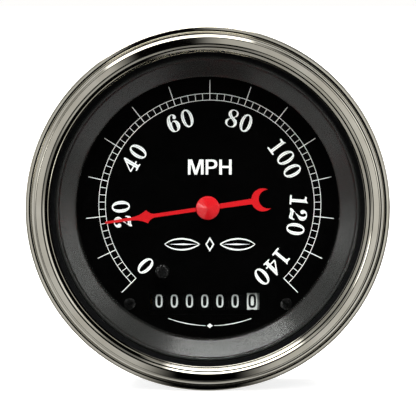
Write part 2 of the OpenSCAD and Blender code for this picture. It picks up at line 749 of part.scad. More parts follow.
module cross_shaft() {
  collar_r = cross_r + 0.8;
  color("#9da1a6") translate([cross_x, cross_y, 0]) {
    translate([0, 0, lower_lug_z - lug_h + 0.3])
      cylinder(r = cross_r, h = upper_lug_z - lower_lug_z + 2 * lug_h - 0.6);
    translate([0, 0, lower_lug_z + 0.7]) cylinder(r = collar_r, h = 1);
    translate([0, 0, upper_lug_z - 1.7]) cylinder(r = collar_r, h = 1);
  }
}

module cross_worm_wheel() {
  color("#d9d4c4") translate([cross_x, cross_y, 0]) difference() {
    union() {
      translate([0, 0, -worm_wheel_w / 2]) linear_extrude(worm_wheel_w)
        rotate(180 / cross_teeth) polygon(gear_outline(cross_teeth, gear_mod, gear_mod));
      translate([0, 0, -worm_wheel_w]) cylinder(r = cross_r + 1.1, h = 2 * worm_wheel_w);
    }
    translate([0, 0, -worm_wheel_w - 1]) cylinder(r = cross_r + press_gap, h = 2 * worm_wheel_w + 2);
  }
}

module cross_worm() {
  color("#7f8388") translate([cross_x, cross_y, axle_z - worm_len / 2]) rotate(270)
    worm(1, cross_r + press_gap);
}

module layshaft() {
  color("#9da1a6") {
    bar_x(lay_r, lug_x - 0.3, arm_right_x + arm_t + 0.3, lay_y, axle_z);
    bar_x(lay_r + 1, lug_x + lug_t + 0.15, lug_x + lug_t + 0.95, lay_y, axle_z);
  }
}

module layshaft_worm_wheel() {
  color("#d9d4c4") difference() {
    union() {
      slice(cross_x - worm_wheel_w / 2, worm_wheel_w, lay_y, axle_z)
        rotate(180 / lay_teeth) polygon(gear_outline(lay_teeth, gear_mod, gear_mod));
      bar_x(lay_r + 1.4, cross_x - worm_wheel_w, cross_x + worm_wheel_w, lay_y, axle_z);
    }
    bar_x(lay_r + press_gap, cross_x - 2 * worm_wheel_w, cross_x + 2 * worm_wheel_w, lay_y, axle_z);
  }
}

// A spur gear beside the right arm, with a hub that runs against the arm
module spur(teeth, turn, hole_r, y) {
  color("#d9d4c4") difference() {
    union() {
      slice(spur_x, spur_w, y, axle_z) rotate(turn) polygon(gear_outline(teeth, gear_mod, gear_mod));
      bar_x(hole_r + 0.8, spur_x, arm_right_x - 0.15, y, axle_z);
    }
    bar_x(hole_r, spur_x - 1, arm_right_x + 1, y, axle_z);
  }
}

module layshaft_pinion() {
  spur(idler_teeth, 180 / idler_teeth, lay_r + press_gap, lay_y);
}

module idler_gear() {
  spur(idler_teeth, 0, axle_r + run_gap, idler_y);
}

module idler_post() {
  color("#9da1a6") {
    bar_x(axle_r, spur_x - 0.7, arm_right_x + arm_t, idler_y, axle_z);
    bar_x(axle_r + 0.7, spur_x - 0.7, spur_x - 0.15, idler_y, axle_z);
  }
}

module odometer_axle() {
  over = clip_t + 0.2;
  color("#b8bcc0") bar_x(axle_r, arm_left_x - arm_t - over, arm_right_x + arm_t + over, axle_y, axle_z);
}

module carry_axle() {
  color("#b8bcc0") bar_x(carry_axle_r, arm_left_x - arm_t - 0.3, arm_right_x + arm_t + 0.3, carry_y, carry_z);
}

module ring_x(inner, outer, x0, t) {
  difference() {
    bar_x(outer, x0, x0 + t, axle_y, axle_z);
    bar_x(inner, x0 - 1, x0 + t + 1, axle_y, axle_z);
  }
}

module axle_clips() {
  color("#6d7176") {
    ring_x(axle_r + press_gap, axle_r + 1.2, arm_left_x - arm_t - clip_t - 0.05, clip_t);
    ring_x(axle_r + press_gap, axle_r + 1.2, arm_right_x + arm_t + 0.05, clip_t);
  }
}

module wheel_spacers() {
  left_end = wheel_mid(1) - wheel_w / 2;
  color("#c8a24a") {
    ring_x(axle_r + run_gap, axle_r + 1, arm_left_x + 0.05, left_end - arm_left_x - 0.12);
    ring_x(axle_r + run_gap, axle_r + 1, spur_x + spur_w + 0.07, arm_right_x - spur_x - spur_w - 0.12);
  }
}

// The locking rim of a wheel has a notch with two teeth, which turn the carry pinion by one digit
module lock_rim() {
  pitch_r = ring_teeth / 2 * carry_mod;
  step = 360 / ring_teeth;
  notch_foot = pitch_r - 1.5 * carry_mod;
  far = 2 * lock_rim_r;
  difference() {
    circle(lock_rim_r);
    rotate(carry_angle + carry_notch)
      polygon([[notch_foot, -1.3], [far, -far / 3], [far, far / 3], [notch_foot, 1.3]]);
  }
  for (side = [-1, 1]) rotate(carry_angle + carry_notch + side * step / 2)
    polygon([[pitch_r - 2 * carry_mod, -0.45], [pitch_r + 0.9 * carry_mod, -0.2],
      [pitch_r + 0.9 * carry_mod, 0.2], [pitch_r - 2 * carry_mod, 0.45]]);
}

module number_wheel(mid, width, has_ring, has_rim) {
  left = mid - width / 2;
  right = mid + width / 2;
  color("#101010") difference() {
    union() {
      bar_x(wheel_r, left, right, axle_y, axle_z);
      if (has_ring) slice(right - 0.1, side_ring_t + 0.1, axle_y, axle_z)
        rotate(carry_angle + 180 / ring_teeth) polygon(gear_outline(ring_teeth, carry_mod, carry_mod * 0.95));
      if (has_rim) slice(left - side_ring_t, side_ring_t + 0.1, axle_y, axle_z) lock_rim();
    }
    bar_x(axle_r + run_gap, left - 5, right + 5, axle_y, axle_z);
  }
}

module tenths_wheel() {
  left = tenths_x - tenths_w / 2;
  right = tenths_x + tenths_w / 2;
  color("#d5d6d4") difference() {
    union() {
      bar_x(wheel_r, left, right, axle_y, axle_z);
      slice(left - side_ring_t, side_ring_t + 0.1, axle_y, axle_z) lock_rim();
      bar_x(3, right - 0.1, spur_x + 0.1, axle_y, axle_z);
      slice(spur_x, spur_w, axle_y, axle_z)
        rotate(180 / tenths_teeth) polygon(gear_outline(tenths_teeth, gear_mod, gear_mod));
    }
    bar_x(axle_r + run_gap, left - 5, right + 5, axle_y, axle_z);
  }
}

module mile_wheel(i) {
  number_wheel(wheel_mid(i), wheel_w, true, i > 1);
}

// The carry pinion in the gap to the right of mile wheel i: every second tooth is half as wide,
// so that the other four ride on the locking rim
module carry_pinion(i) {
  left = wheel_mid(i) + wheel_w / 2 + 0.05;
  full = wheel_pitch - wheel_w - 0.1;
  tip = pinion_teeth * carry_mod;
  color("#e6e1d2") difference() {
    union() {
      slice(left, side_ring_t, carry_y, carry_z) rotate(carry_angle + 180)
        polygon(gear_outline(pinion_teeth, carry_mod, pinion_tip * 1.9));
      slice(left, full, carry_y, carry_z) intersection() {
        rotate(carry_angle + 180) polygon(gear_outline(pinion_teeth, carry_mod, pinion_tip * 1.9));
        union() {
          circle(1.35);
          for (k = [0:3]) rotate(carry_angle + 225 + k * 90) translate([0, -0.6]) square([tip, 1.2]);
        }
      }
    }
    bar_x(carry_axle_r + run_gap, left - 1, left + full + 1, carry_y, carry_z);
  }
}

module case_can() {
  inner = can_r - can_wall;
  flange_r = can_r + can_flange_w;
  color("#a7a9ab") difference() {
    turned(concat(
      [[inner, can_flange_y], [flange_r, can_flange_y], [flange_r, crimp_y], [can_r, crimp_y]],
      arc([can_r - can_edge_r, can_depth - can_edge_r], can_edge_r, 0, 90),
      [[0, can_depth], [0, can_inner_back], [inner, can_inner_back]]));
    bar_y(6 + press_gap, can_inner_back - 1, can_depth + 1);
    for (side = [-1, 1]) {
      translate([side * stud_spacing / 2, 0, 0])
        bar_y(stud_seat_r + press_gap, can_inner_back - 1, can_depth + 1);
      translate([side * lamp_x, 0, lamp_z]) bar_y(lamp_body_r + hand_gap, can_inner_back - 1, can_depth + 1);
    }
    for (p = foot_places) translate([p.x, 0, p.y]) bar_y(1.7, can_inner_back - 1, can_depth + 1);
  }
}

module cable_ferrule() {
  end_y = can_depth + ferrule_len;
  bore = shaft_rear_r + 0.7;
  color("#b9bcc0") turned([[bore, can_inner_back - 1.5], [6, can_inner_back - 1.5], [6, can_depth],
    [ferrule_r + 2.6, can_depth], [ferrule_r + 2.6, can_depth + 1.5], [ferrule_r, can_depth + 1.5],
    [ferrule_r, end_y - 0.6], [ferrule_r - 0.6, end_y], [cable_seat_r, end_y],
    [cable_seat_r, end_y - cable_seat_len], [bore, end_y - cable_seat_len]]);
}

module bracket_studs() {
  head_r = stud_r + 1.8;
  color("#b9bcc0") for (side = [-1, 1]) translate([side * stud_spacing / 2, 0, 0]) turned([
    [0, can_inner_back - 1], [head_r, can_inner_back - 1], [head_r, can_inner_back],
    [stud_seat_r, can_inner_back], [stud_seat_r, can_depth], [stud_r, can_depth],
    [stud_r, can_depth + stud_len - 0.5], [stud_r - 0.5, can_depth + stud_len],
    [0, can_depth + stud_len]]);
}

module frame_screws() {
  color("#8b8f94") for (p = foot_places) translate([p.x, can_depth, p.y]) rotate(180)
    screw(2.8, 1.6, 1.45, can_back_t + 6, 0);
}

module lamp_holders() {
  body_front = can_inner_back - lamp_body_len;
  flange_r = lamp_body_r + 1.6;
  flange_back = can_depth + 1.2;
  color("#2a2a2a") for (side = [-1, 1]) translate([side * lamp_x, 0, lamp_z]) {
    turned([[0, socket_foot], [lamp_socket_r, socket_foot], [lamp_socket_r, body_front],
      [lamp_body_r, body_front], [lamp_body_r, can_depth], [flange_r, can_depth],
      [flange_r, flange_back], [lamp_body_r - 1, flange_back], [lamp_body_r - 1, flange_back + 4.8],
      [lamp_body_r - 1.6, flange_back + 5.4], [0, flange_back + 5.4]]);
    translate([-0.4, flange_back + 4.8, -2]) cube([0.8, 6, 4]);
  }
}

module lamp_bulbs() {
  front = can_inner_back - bulb_reach;
  neck_r = lamp_socket_r - hand_gap;
  neck_front = can_inner_back - lamp_body_len;
  color("#f2ead2") for (side = [-1, 1]) translate([side * lamp_x, 0, lamp_z])
    turned(concat([[0, socket_foot - hand_gap], [neck_r, socket_foot - hand_gap], [neck_r, neck_front],
      [bulb_r, neck_front - 1]], arc([0, front + bulb_r], bulb_r, 0, -90)));
}

bezel();
lens();
lens_gasket();
shroud_ring();
dial();
dial_screws();
pointer_stop();
pointer();
pointer_cap();
pointer_spindle();
speed_cup();
hairspring_collet();
hairspring();
spring_regulator();
bridge_plate();
bridge_bush();
bridge_screws();
field_cup();
mainframe();
shaft_bushes();
cross_bushes();
input_shaft();
drive_worm();
magnet_hub();
drag_magnet();
cross_shaft();
cross_worm_wheel();
cross_worm();
layshaft();
layshaft_worm_wheel();
layshaft_pinion();
idler_gear();
idler_post();
odometer_axle();
carry_axle();
axle_clips();
wheel_spacers();
mile_wheel(1);  // mile_wheel_1
mile_wheel(2);  // mile_wheel_2
mile_wheel(3);  // mile_wheel_3
mile_wheel(4);  // mile_wheel_4
mile_wheel(5);  // mile_wheel_5
mile_wheel(6);  // mile_wheel_6
tenths_wheel();
carry_pinion(1);  // carry_pinion_1
carry_pinion(2);  // carry_pinion_2
carry_pinion(3);  // carry_pinion_3
carry_pinion(4);  // carry_pinion_4
carry_pinion(5);  // carry_pinion_5
carry_pinion(6);  // carry_pinion_6
case_can();
cable_ferrule();
bracket_studs();
frame_screws();
lamp_holders();
lamp_bulbs();
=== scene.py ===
# %% [markdown]
# # A car speedometer, dressed for its portrait
#
# The CAD model gives every part its true size and place. This notebook loads
# that model as a fixed frame and adds what the eye wants: polished chrome, ink
# on a matt black dial, red lacquer, rolled threads and soft studio light.
# Nothing of the frame is moved; a part that needs a finer skin gets a new piece
# that stands in its place.

# %% Load the frame
import bpy
import bmesh
import math
from functools import partial
from mathutils import Matrix, Vector


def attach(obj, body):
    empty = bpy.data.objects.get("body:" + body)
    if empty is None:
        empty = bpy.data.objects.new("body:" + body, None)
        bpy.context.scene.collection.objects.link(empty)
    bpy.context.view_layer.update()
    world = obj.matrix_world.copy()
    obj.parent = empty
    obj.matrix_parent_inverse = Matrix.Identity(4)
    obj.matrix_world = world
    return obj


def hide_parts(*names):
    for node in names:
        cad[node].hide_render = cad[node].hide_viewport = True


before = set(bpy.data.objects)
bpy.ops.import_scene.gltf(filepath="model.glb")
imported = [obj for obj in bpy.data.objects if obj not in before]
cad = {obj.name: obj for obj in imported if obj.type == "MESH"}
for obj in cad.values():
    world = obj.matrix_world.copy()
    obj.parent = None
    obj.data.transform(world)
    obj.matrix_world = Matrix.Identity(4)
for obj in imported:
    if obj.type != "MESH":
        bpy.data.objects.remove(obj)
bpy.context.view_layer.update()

# %% [markdown]
# ## Small tools
#
# Blender measures in metres and this gauge in millimetres, so one number turns
# one into the other. Colours are picked as sRGB hex, the way a colour picker
# shows them, and one function turns them into the linear light that shaders
# add up. A node is always made the same way: its kind, what is plugged into
# it, and its settings.

# %% Units, colours, nodes and objects
MM = 0.001


def linear(hex_colour):
    """An sRGB hex colour as linear red, green, blue and alpha."""
    parts = [int(hex_colour[i:i + 2], 16) / 255 for i in (0, 2, 4)]
    return tuple(p / 12.92 if p <= 0.04045 else ((p + 0.055) / 1.055) ** 2.4 for p in parts) + (1.0,)


def node(tree, kind, inputs=None, **settings):
    """Adds a node, sets its properties, and fills or links its inputs.

    An input takes a plain value, a socket, or a node, which stands for its first output in use. A list
    plugs several of them into one input.
    """
    made = tree.nodes.new(kind)
    for name, value in settings.items():
        setattr(made, name, value)
    for socket, values in (inputs or {}).items():
        for value in values if isinstance(values, list) else [values]:
            if isinstance(value, bpy.types.Node):
                value = next(output for output in value.outputs if output.enabled)
            if isinstance(value, bpy.types.NodeSocket):
                tree.links.new(value, made.inputs[socket])
            else:
                made.inputs[socket].default_value = value
    return made


def new_object(name, data):
    """An object that shows data, linked to the scene."""
    made = bpy.data.objects.new(name, data)
    bpy.context.scene.collection.objects.link(made)
    return made


print("mid grey #808080 is", round(linear("808080")[0], 3), "in linear light")

# %% [markdown]
# ## Meshes from profiles
#
# Most of a gauge is turned or spun: one outline goes round an axis. A lathe
# function takes that outline as pairs of radius and depth, which is how a
# turner reads a drawing. Depth grows towards the back of the car's dash. The
# outline is closed, so the solid is closed too. Each piece is one object: its
# meshes are joined, double points are merged, faces turn outwards, and edges
# stay crisp only past an angle.


# %% Lathe and plain mesh
def arc(centre, r, start, end, steps=10):
    """Points on an arc, as (radius, depth); 0 degrees points outwards and -90 to the front."""
    angles = [math.radians(start + (end - start) * i / steps) for i in range(steps + 1)]
    return [(centre[0] + r * math.cos(a), centre[1] + r * math.sin(a)) for a in angles]


def bow(p, q, rise, steps=12):
    """Points from p to q along a shallow curve that stands off the chord by rise."""
    d = (q[0] - p[0], q[1] - p[1])
    length = math.hypot(*d)
    side = (-d[1] / length, d[0] / length)
    share = [i / steps for i in range(steps + 1)]
    return [(p[0] + d[0] * t + side[0] * 4 * rise * t * (1 - t),
             p[1] + d[1] * t + side[1] * 4 * rise * t * (1 - t)) for t in share]


def plain_mesh(points, faces):
    """A mesh from points in millimetres."""
    mesh = bpy.data.meshes.new("plain")
    mesh.from_pydata([Vector(p) * MM for p in points], [], faces)
    return mesh


# Points nearer than this are one point, and edges shorter than this are none, in metres.
SAME_POINT, NO_EDGE = 1e-7, 1e-8


def piece(name, meshes, material, body, sharp=32):
    """Joins meshes into one smooth object on a body; edges past sharp degrees stay crisp."""
    work = bmesh.new()
    for mesh in meshes:
        work.from_mesh(mesh)
        bpy.data.meshes.remove(mesh)
    bmesh.ops.remove_doubles(work, verts=work.verts, dist=SAME_POINT)
    bmesh.ops.dissolve_degenerate(work, edges=work.edges, dist=NO_EDGE)
    bmesh.ops.recalc_face_normals(work, faces=work.faces)
    mesh = bpy.data.meshes.new(name)
    work.to_mesh(mesh)
    work.free()
    mesh.polygons.foreach_set("use_smooth", [True] * len(mesh.polygons))
    mesh.set_sharp_from_angle(angle=math.radians(sharp))
    mesh.materials.clear()
    mesh.materials.append(material)
    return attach(new_object(name, mesh), body)


def turned_mesh(outline, centre=(0.0, 0.0), steps=240):
    """A closed outline turned about an axis that runs front to back."""
    points, faces, rings = [], [], []
    for r, y in outline:
        count = steps if r > 0 else 1
        rings.append([len(points) + i % count for i in range(steps)])
        points += [(centre[0] + r * math.cos(2 * math.pi * i / steps), y,
                    centre[1] + r * math.sin(2 * math.pi * i / steps)) for i in range(count)]
    for a, b in zip(rings, rings[1:] + rings[:1]):
        for i in range(steps):
            j = (i + 1) % steps
            corners = list(dict.fromkeys([a[i], a[j], b[j], b[i]]))
            if len(corners) > 2:
                faces.append(corners)
    return plain_mesh(points, faces)


def lathe(name, outline, material, body, centre=(0.0, 0.0), steps=240, sharp=32):
    """A turned outline as a piece on a body."""
    return piece(name, [turned_mesh(outline, centre, steps)], material, body, sharp)


print("middle of a quarter arc:", [round(v, 3) for v in arc((0.0, 0.0), 1.0, 0, 90, 2)[1]])

# %% [markdown]
# ## Finishes: bright metals
#
# The ring round the glass is steel or brass that was polished on a wheel and
# then plated with nickel and chrome. Chrome has almost no colour of its own; it
# shows the room, a little warm here. What tells the eye that it is metal and
# not a mirror is a haze of very fine polishing lines that run round with the
# wheel. They are drawn as noise that is stretched along the circle, by giving
# it the radius and the depth as coordinates and leaving the angle almost out.


# %% Helpers that all the finishes share
# A noise seldom leaves this middle range.
NOISE_LOW, NOISE_HIGH = 0.3, 0.7


def new_finish(name):
    """A material with an empty tree, and that tree."""
    made = bpy.data.materials.new(name)
    made.use_nodes = True
    made.node_tree.nodes.clear()
    return made, made.node_tree


def object_millimetres(tree, along=1.0):
    """Object coordinates in millimetres; with along below 1 a pattern is drawn out from front to back."""
    place = node(tree, "ShaderNodeTexCoord").outputs["Object"]
    return node(tree, "ShaderNodeMapping", {"Vector": place, "Scale": (1 / MM, along / MM, 1 / MM)})


def turned_millimetres(tree, around):
    """Radius, depth and a little of the angle, for a pattern that runs round the gauge's axis."""
    x, y, z = node(tree, "ShaderNodeSeparateXYZ", {0: object_millimetres(tree)}).outputs
    across = node(tree, "ShaderNodeCombineXYZ", {0: x, 1: z})
    radius = node(tree, "ShaderNodeVectorMath", {0: across}, operation="LENGTH")
    angle = node(tree, "ShaderNodeMath", {0: z, 1: x}, operation="ARCTAN2")
    slow = node(tree, "ShaderNodeMath", {0: angle, 1: around}, operation="MULTIPLY")
    return node(tree, "ShaderNodeCombineXYZ", {0: radius, 1: y, 2: slow})


def two_tone(tree, factor, first, second, start=NOISE_LOW, end=NOISE_HIGH):
    """A colour that goes from one hex to another as factor goes from start to end."""
    share = node(tree, "ShaderNodeMapRange", {"Value": factor, "From Min": start, "From Max": end})
    return node(tree, "ShaderNodeMix", {"Factor": share, "A": linear(first), "B": linear(second)}, data_type="RGBA")


def textured(name, light, dark, rough, fine, slow, tone, swing, bump, constants, haze=None, blend=False):
    """A finish from two noises: a fine one moves roughness and relief, a slow one the tone.

    fine and slow: coordinates, scale per millimetre, detail and roughness of the noise
    tone: where the noise turns from light to dark; with blend, both noises share in it
    swing: lowest and highest roughness, as parts of rough; haze: what the slow noise adds to it
    bump: strength of the relief and its depth in millimetres
    constants: the shader's other sockets
    """
    made, tree = new_finish(name)
    grain, clouds = [node(tree, "ShaderNodeTexNoise", {"Vector": place(tree), "Scale": scale, "Detail": detail,
                                                       "Roughness": harsh})
                     for place, scale, detail, harsh in (fine, slow)]
    shine = node(tree, "ShaderNodeMapRange", {
        "Value": grain, "From Min": NOISE_LOW, "From Max": NOISE_HIGH,
        "To Min": rough * swing[0], "To Max": min(1.0, rough * swing[1])})
    if haze:
        dull = node(tree, "ShaderNodeMapRange", {"Value": clouds, "From Min": NOISE_LOW, "From Max": NOISE_HIGH,
                                                 "To Min": haze[0], "To Max": haze[1]})
        shine = node(tree, "ShaderNodeMath", {0: shine, 1: dull}, operation="ADD")
    toned = node(tree, "ShaderNodeMix", {"Factor": 0.5, "A": grain, "B": clouds}) if blend else clouds
    relief = node(tree, "ShaderNodeBump", {"Height": grain, "Strength": bump[0], "Distance": bump[1] * MM})
    shader = node(tree, "ShaderNodeBsdfPrincipled", {
        "Base Color": two_tone(tree, toned, light, dark, *tone), "Roughness": shine, "Normal": relief, **constants})
    node(tree, "ShaderNodeOutputMaterial", {"Surface": shader})
    return made


print("noise is read from", NOISE_LOW, "to", NOISE_HIGH)


# %% Bright metals
def polished_plate(name, light, dark, rough, line_mm):
    """A plated part that was polished on a wheel: hairlines run round its axis."""
    return textured(name, light, dark, rough, (lambda tree: turned_millimetres(tree, 1.5), 1 / line_mm, 3.0, 0.6),
                    (object_millimetres, 0.12, 2.0, 0.5), (NOISE_LOW, NOISE_HIGH), (0.6, 1.5), (0.05, 0.004),
                    {"Metallic": 1.0}, haze=(-0.01, 0.02))


def machined(name, light, dark, rough, line_mm, depth_mm=0.01):
    """Metal cut on a lathe: fine feed lines round its axis, and a little handling tarnish."""
    return textured(name, light, dark, rough, (lambda tree: turned_millimetres(tree, 0.8), 1 / line_mm, 2.0, 0.5),
                    (object_millimetres, 0.35, 4.0, 0.6), (0.35, 0.75), (0.7, 1.4), (0.35, depth_mm),
                    {"Metallic": 1.0})


def rolled_sheet(name, light, dark, rough, grain_mm):
    """Pressed or drawn sheet: the mill's grain runs one way, with a mottle over it."""
    return textured(name, light, dark, rough, (lambda tree: object_millimetres(tree, 0.06), 1 / grain_mm, 3.0, 0.6),
                    (object_millimetres, 0.18, 4.0, 0.6), (NOISE_LOW, NOISE_HIGH), (0.7, 1.35), (0.25, 0.012),
                    {"Metallic": 1.0})


# Nickel and chrome over polished brass: a warm mirror with polishing haze.
chrome = polished_plate("chrome_plated_brass", "CFCCC1", "C2BEB1", 0.045, 0.22)
# Bright zinc on steel: cool, a little milky, with blue and straw clouds.
bright_zinc = machined("bright_zinc_plated_steel", "C9CDD0", "A9ABA4", 0.24, 0.12)
# Drawn steel can, dull zinc: the drawing die leaves lines along its wall.
can_zinc = rolled_sheet("zinc_plated_drawn_steel", "B4B7B9", "94979A", 0.34, 0.25)
# Pressed steel with a thin passivated zinc.
pressed = rolled_sheet("pressed_zinc_steel", "AEB1B0", "8F9190", 0.38, 0.3)
# Ground shaft: near mirror with very fine rings.
ground = machined("ground_steel", "C6C8CA", "A9ABAD", 0.16, 0.08, depth_mm=0.004)
# Free-cutting brass, fresh from the lathe.
brass = machined("turned_brass", "C9A457", "A7833C", 0.26, 0.14)
# Blued spring steel.
spring = rolled_sheet("blued_spring_steel", "3B4566", "28304A", 0.3, 0.12)
# Spun aluminium cup, soft satin.
aluminium = machined("spun_aluminium", "C8CACB", "B0B2B3", 0.34, 0.2)
# Hardened steel worm, with slow patches of a darker, oily tone.
worm_steel = machined("hardened_worm_steel", "8D9092", "4E5052", 0.28, 0.1)
print("bright metals:", [m.name for m in (chrome, bright_zinc, can_zinc, pressed, ground, brass, spring, aluminium)])

# %% [markdown]
# ## Finishes: castings, paints, rubber and plastics
#
# Most of these aren't mirrors, so their look comes from texture: a casting is
# finely pitted, an ink film is chalky, and moulded plastic carries the fine
# spark-eroded grain of its tool. Stove enamel is the glossy one: paint that
# flowed out smooth before it set. Each has two close tones, because nothing
# that was made by hand or machine is one colour.


# %% Pigmented and moulded finishes
def grained(name, light, dark, rough, grain_mm, relief_mm, spread=0.25, specular=0.5, metallic=0.0):
    """A surface with a fine grain, alike in all directions, and a slow change of tone."""
    return textured(name, light, dark, rough, (object_millimetres, 1 / grain_mm, 2.0, 0.55),
                    (object_millimetres, 0.22, 3.0, 0.55), (0.4, 0.6), (1 - spread, 1 + spread), (0.4, relief_mm),
                    {"Metallic": metallic, "Specular IOR Level": specular}, blend=True)


# Zinc die casting: grey, faintly crystalline, with a blasted skin.
die_cast = grained("zinc_die_casting", "9A9C9E", "7E8083", 0.5, 0.35, 0.03, metallic=1.0)
# Sintered magnet: dark, almost black, like fine-grained iron.
magnet_iron = grained("sintered_magnet_iron", "3A3C40", "26272A", 0.45, 0.3, 0.02, metallic=0.7)
# Matt black dial lacquer, flatted so that glare can't hide the needle.
dial_black = grained("matt_black_dial_lacquer", "020202", "010101", 0.8, 0.32, 0.005, spread=0.1, specular=0.01)
# Black stove enamel, smooth and glossy, on the ring between glass and dial: it takes long soft highlights.
shroud_enamel = grained("black_stove_enamel", "191918", "171716", 0.2, 0.45, 0.0002, spread=0.02, specular=0.85)
# Blackened steel screw heads.
black_oxide = grained("black_oxide_steel", "060606", "030303", 0.18, 0.2, 0.003, specular=0.7)
# Moulded rubber: dull and very dark.
rubber = grained("moulded_black_rubber", "0D0D0E", "080809", 0.6, 0.4, 0.02, specular=0.3)
# The same rubber from a polished mould: a soft shine on the stop pin's round end.
pin_rubber = grained("glossy_black_rubber", "070707", "040404", 0.3, 0.5, 0.01, specular=0.5)
# Natural nylon gears: creamy and waxy.
nylon = grained("natural_nylon", "E6E0CC", "D6CFB8", 0.42, 0.5, 0.01)
# Black and white moulded number wheels.
drum_black = grained("black_moulded_drum", "050505", "030303", 0.5, 0.3, 0.006, specular=0.05)
drum_white = grained("white_moulded_drum", "D6D8D6", "D0D2D0", 0.5, 0.3, 0.006)
# Phenolic lamp holders: brown-black with a speckle of filler.
phenolic = grained("black_phenolic", "232021", "151314", 0.36, 0.28, 0.012)
# Screen inks: flat, slightly chalky films in white, pale grey and black.
ink_white = grained("white_screen_ink", "F4F4F3", "EEEFEE", 0.6, 0.22, 0.004, specular=0.2)
ink_grey = grained("pale_grey_screen_ink", "C6CBC9", "BDC3C1", 0.6, 0.22, 0.004, specular=0.2)
drum_ink = grained("pale_drum_ink", "C8CBCA", "BEC1C0", 0.5, 0.22, 0.004, specular=0.2)
ink_black = grained("black_screen_ink", "101011", "080809", 0.5, 0.22, 0.004, specular=0.2)
# Signal red lacquer on the pointer, and the same red moulded for its cap.
pointer_lacquer = grained("signal_red_lacquer", "BD141B", "B61218", 0.5, 0.3, 0.004, specular=0.3)
cap_plastic = grained("signal_red_moulding", "BE171E", "B2131A", 0.14, 0.3, 0.002, spread=0.1, specular=0.8)
print("paints:", [m.name for m in (dial_black, shroud_enamel, pointer_lacquer, ink_white, ink_grey, ink_black)])

# %% [markdown]
# ## Finishes: glass
#
# Window glass is nearly invisible straight on and shows only a sheen. Real
# glass lets light through to the dial; a renderer that bends every shadow ray
# would leave the dial in the dark, so shadow rays take a plain transparent
# path. The bulbs are thin blown glass, slightly warm.


# %% Glass
def clear_glass(name, tint, rough=0.0, ior=1.5):
    """Glass that bends what is seen through it and lets shadow rays pass straight."""
    made, tree = new_finish(name)
    smear = node(tree, "ShaderNodeTexNoise", {"Vector": object_millimetres(tree), "Scale": 0.05})
    body = node(tree, "ShaderNodeBsdfPrincipled",
                {"Base Color": two_tone(tree, smear, tint, "FFFFFF"), "Roughness": rough, "IOR": ior,
                 "Transmission Weight": 1.0})
    through = node(tree, "ShaderNodeBsdfTransparent", {"Color": linear(tint)})
    shadow = node(tree, "ShaderNodeLightPath").outputs["Is Shadow Ray"]
    mixed = node(tree, "ShaderNodeMixShader", {0: shadow, 1: body, 2: through})
    node(tree, "ShaderNodeOutputMaterial", {"Surface": mixed})
    return made


window_glass = clear_glass("float_glass", "FAFCFB")
bulb_glass = clear_glass("blown_bulb_glass", "FFF4E0", 0.02, 1.45)
print("glass:", window_glass.name, bulb_glass.name)

# %% [markdown]
# ## Every CAD part gets its finish
#
# The frame's own meshes have true curved faces and can stay wherever the real
# part is plain. Each one takes the finish that the name of its material slot stands for.

# %% Finishes on the CAD parts
finish_of_slot = {
    "chrome": chrome, "window_glass": window_glass, "rubber_black": rubber, "shroud_paint": shroud_enamel,
    "dial_paint": dial_black, "screw_black": black_oxide, "stop_rubber": rubber, "pointer_red": pointer_lacquer,
    "ground_steel": ground, "cup_aluminium": aluminium, "brass": brass, "spring_steel": spring,
    "pressed_steel": pressed, "plated_steel": bright_zinc, "die_cast_zinc": die_cast, "worm_steel": worm_steel,
    "magnet_iron": magnet_iron, "white_nylon": nylon, "wheel_black": drum_black, "wheel_white": drum_white,
    "can_steel": can_zinc, "lamp_plastic": phenolic, "bulb_glass": bulb_glass,
}
for name, part in cad.items():
    for place in part.material_slots:
        place.material = finish_of_slot[place.material.name.split(".")[0]]
print("parts with a finish:", sum(1 for p in cad.values() if p.material_slots[0].material))

# %% [markdown]
# ## The chrome bezel
#
# The ring is spun from sheet over a former: a flange that sits on the dash, a
# small bead with a step to each side, a wall that rounds over into a sloping
# band, and a lip in narrow flats that turns in over the glass. A polished ring
# shows every kink as a broken reflection, so its rounds are turned with many
# points, and each flat shows as one calm line of light or dark.

# %% Bezel
bezel_outline = (
    [(46.5, -0.06), (46.44, 0.0), (43.26, 0.0), (43.2, -0.06), (43.2, -0.8), (45.4, -0.8), (45.4, -2.0),
     (42.45, -2.0), (42.45, -6.4), (40.1, -6.4), (40.05, -6.5), (40.05, -7.08), (40.11, -7.14), (40.44, -7.14),
     (40.5, -7.2), (40.62, -7.14), (41.08, -7.56), (41.45, -7.565), (41.85, -7.855), (42.02, -7.91), (42.24, -7.91),
     (43.58, -7.28), (43.7, -7.27)]
    + arc((43.15, -6.04), 1.35, -65, 0, 22)
    + [(44.5, -3.3), (44.5, -3.24), (44.6, -3.24), (44.82, -3.145)]
    + arc((45.03, -2.76), 0.26, -155, -66, 12)
    + [(45.2, -2.8), (45.2, -2.2), (45.63, -2.19), (46.1, -1.98), (46.18, -1.98)]
    + arc((46.05, -1.53), 0.45, -70, 0, 12))
bezel = lathe("bezel_ring", bezel_outline, chrome, "case", steps=360, sharp=7)
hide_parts("bezel")
print("bezel ring:", len(bezel.data.polygons), "faces")

# %% [markdown]
# ## The shroud
#
# Between glass and dial sits a pressed ring in glossy black enamel. It hides
# the lamps behind it. From a rolled bead its face slopes in gently, which is
# where the long soft highlight lies; then its throat drops steeply to the dial
# and stays dark.

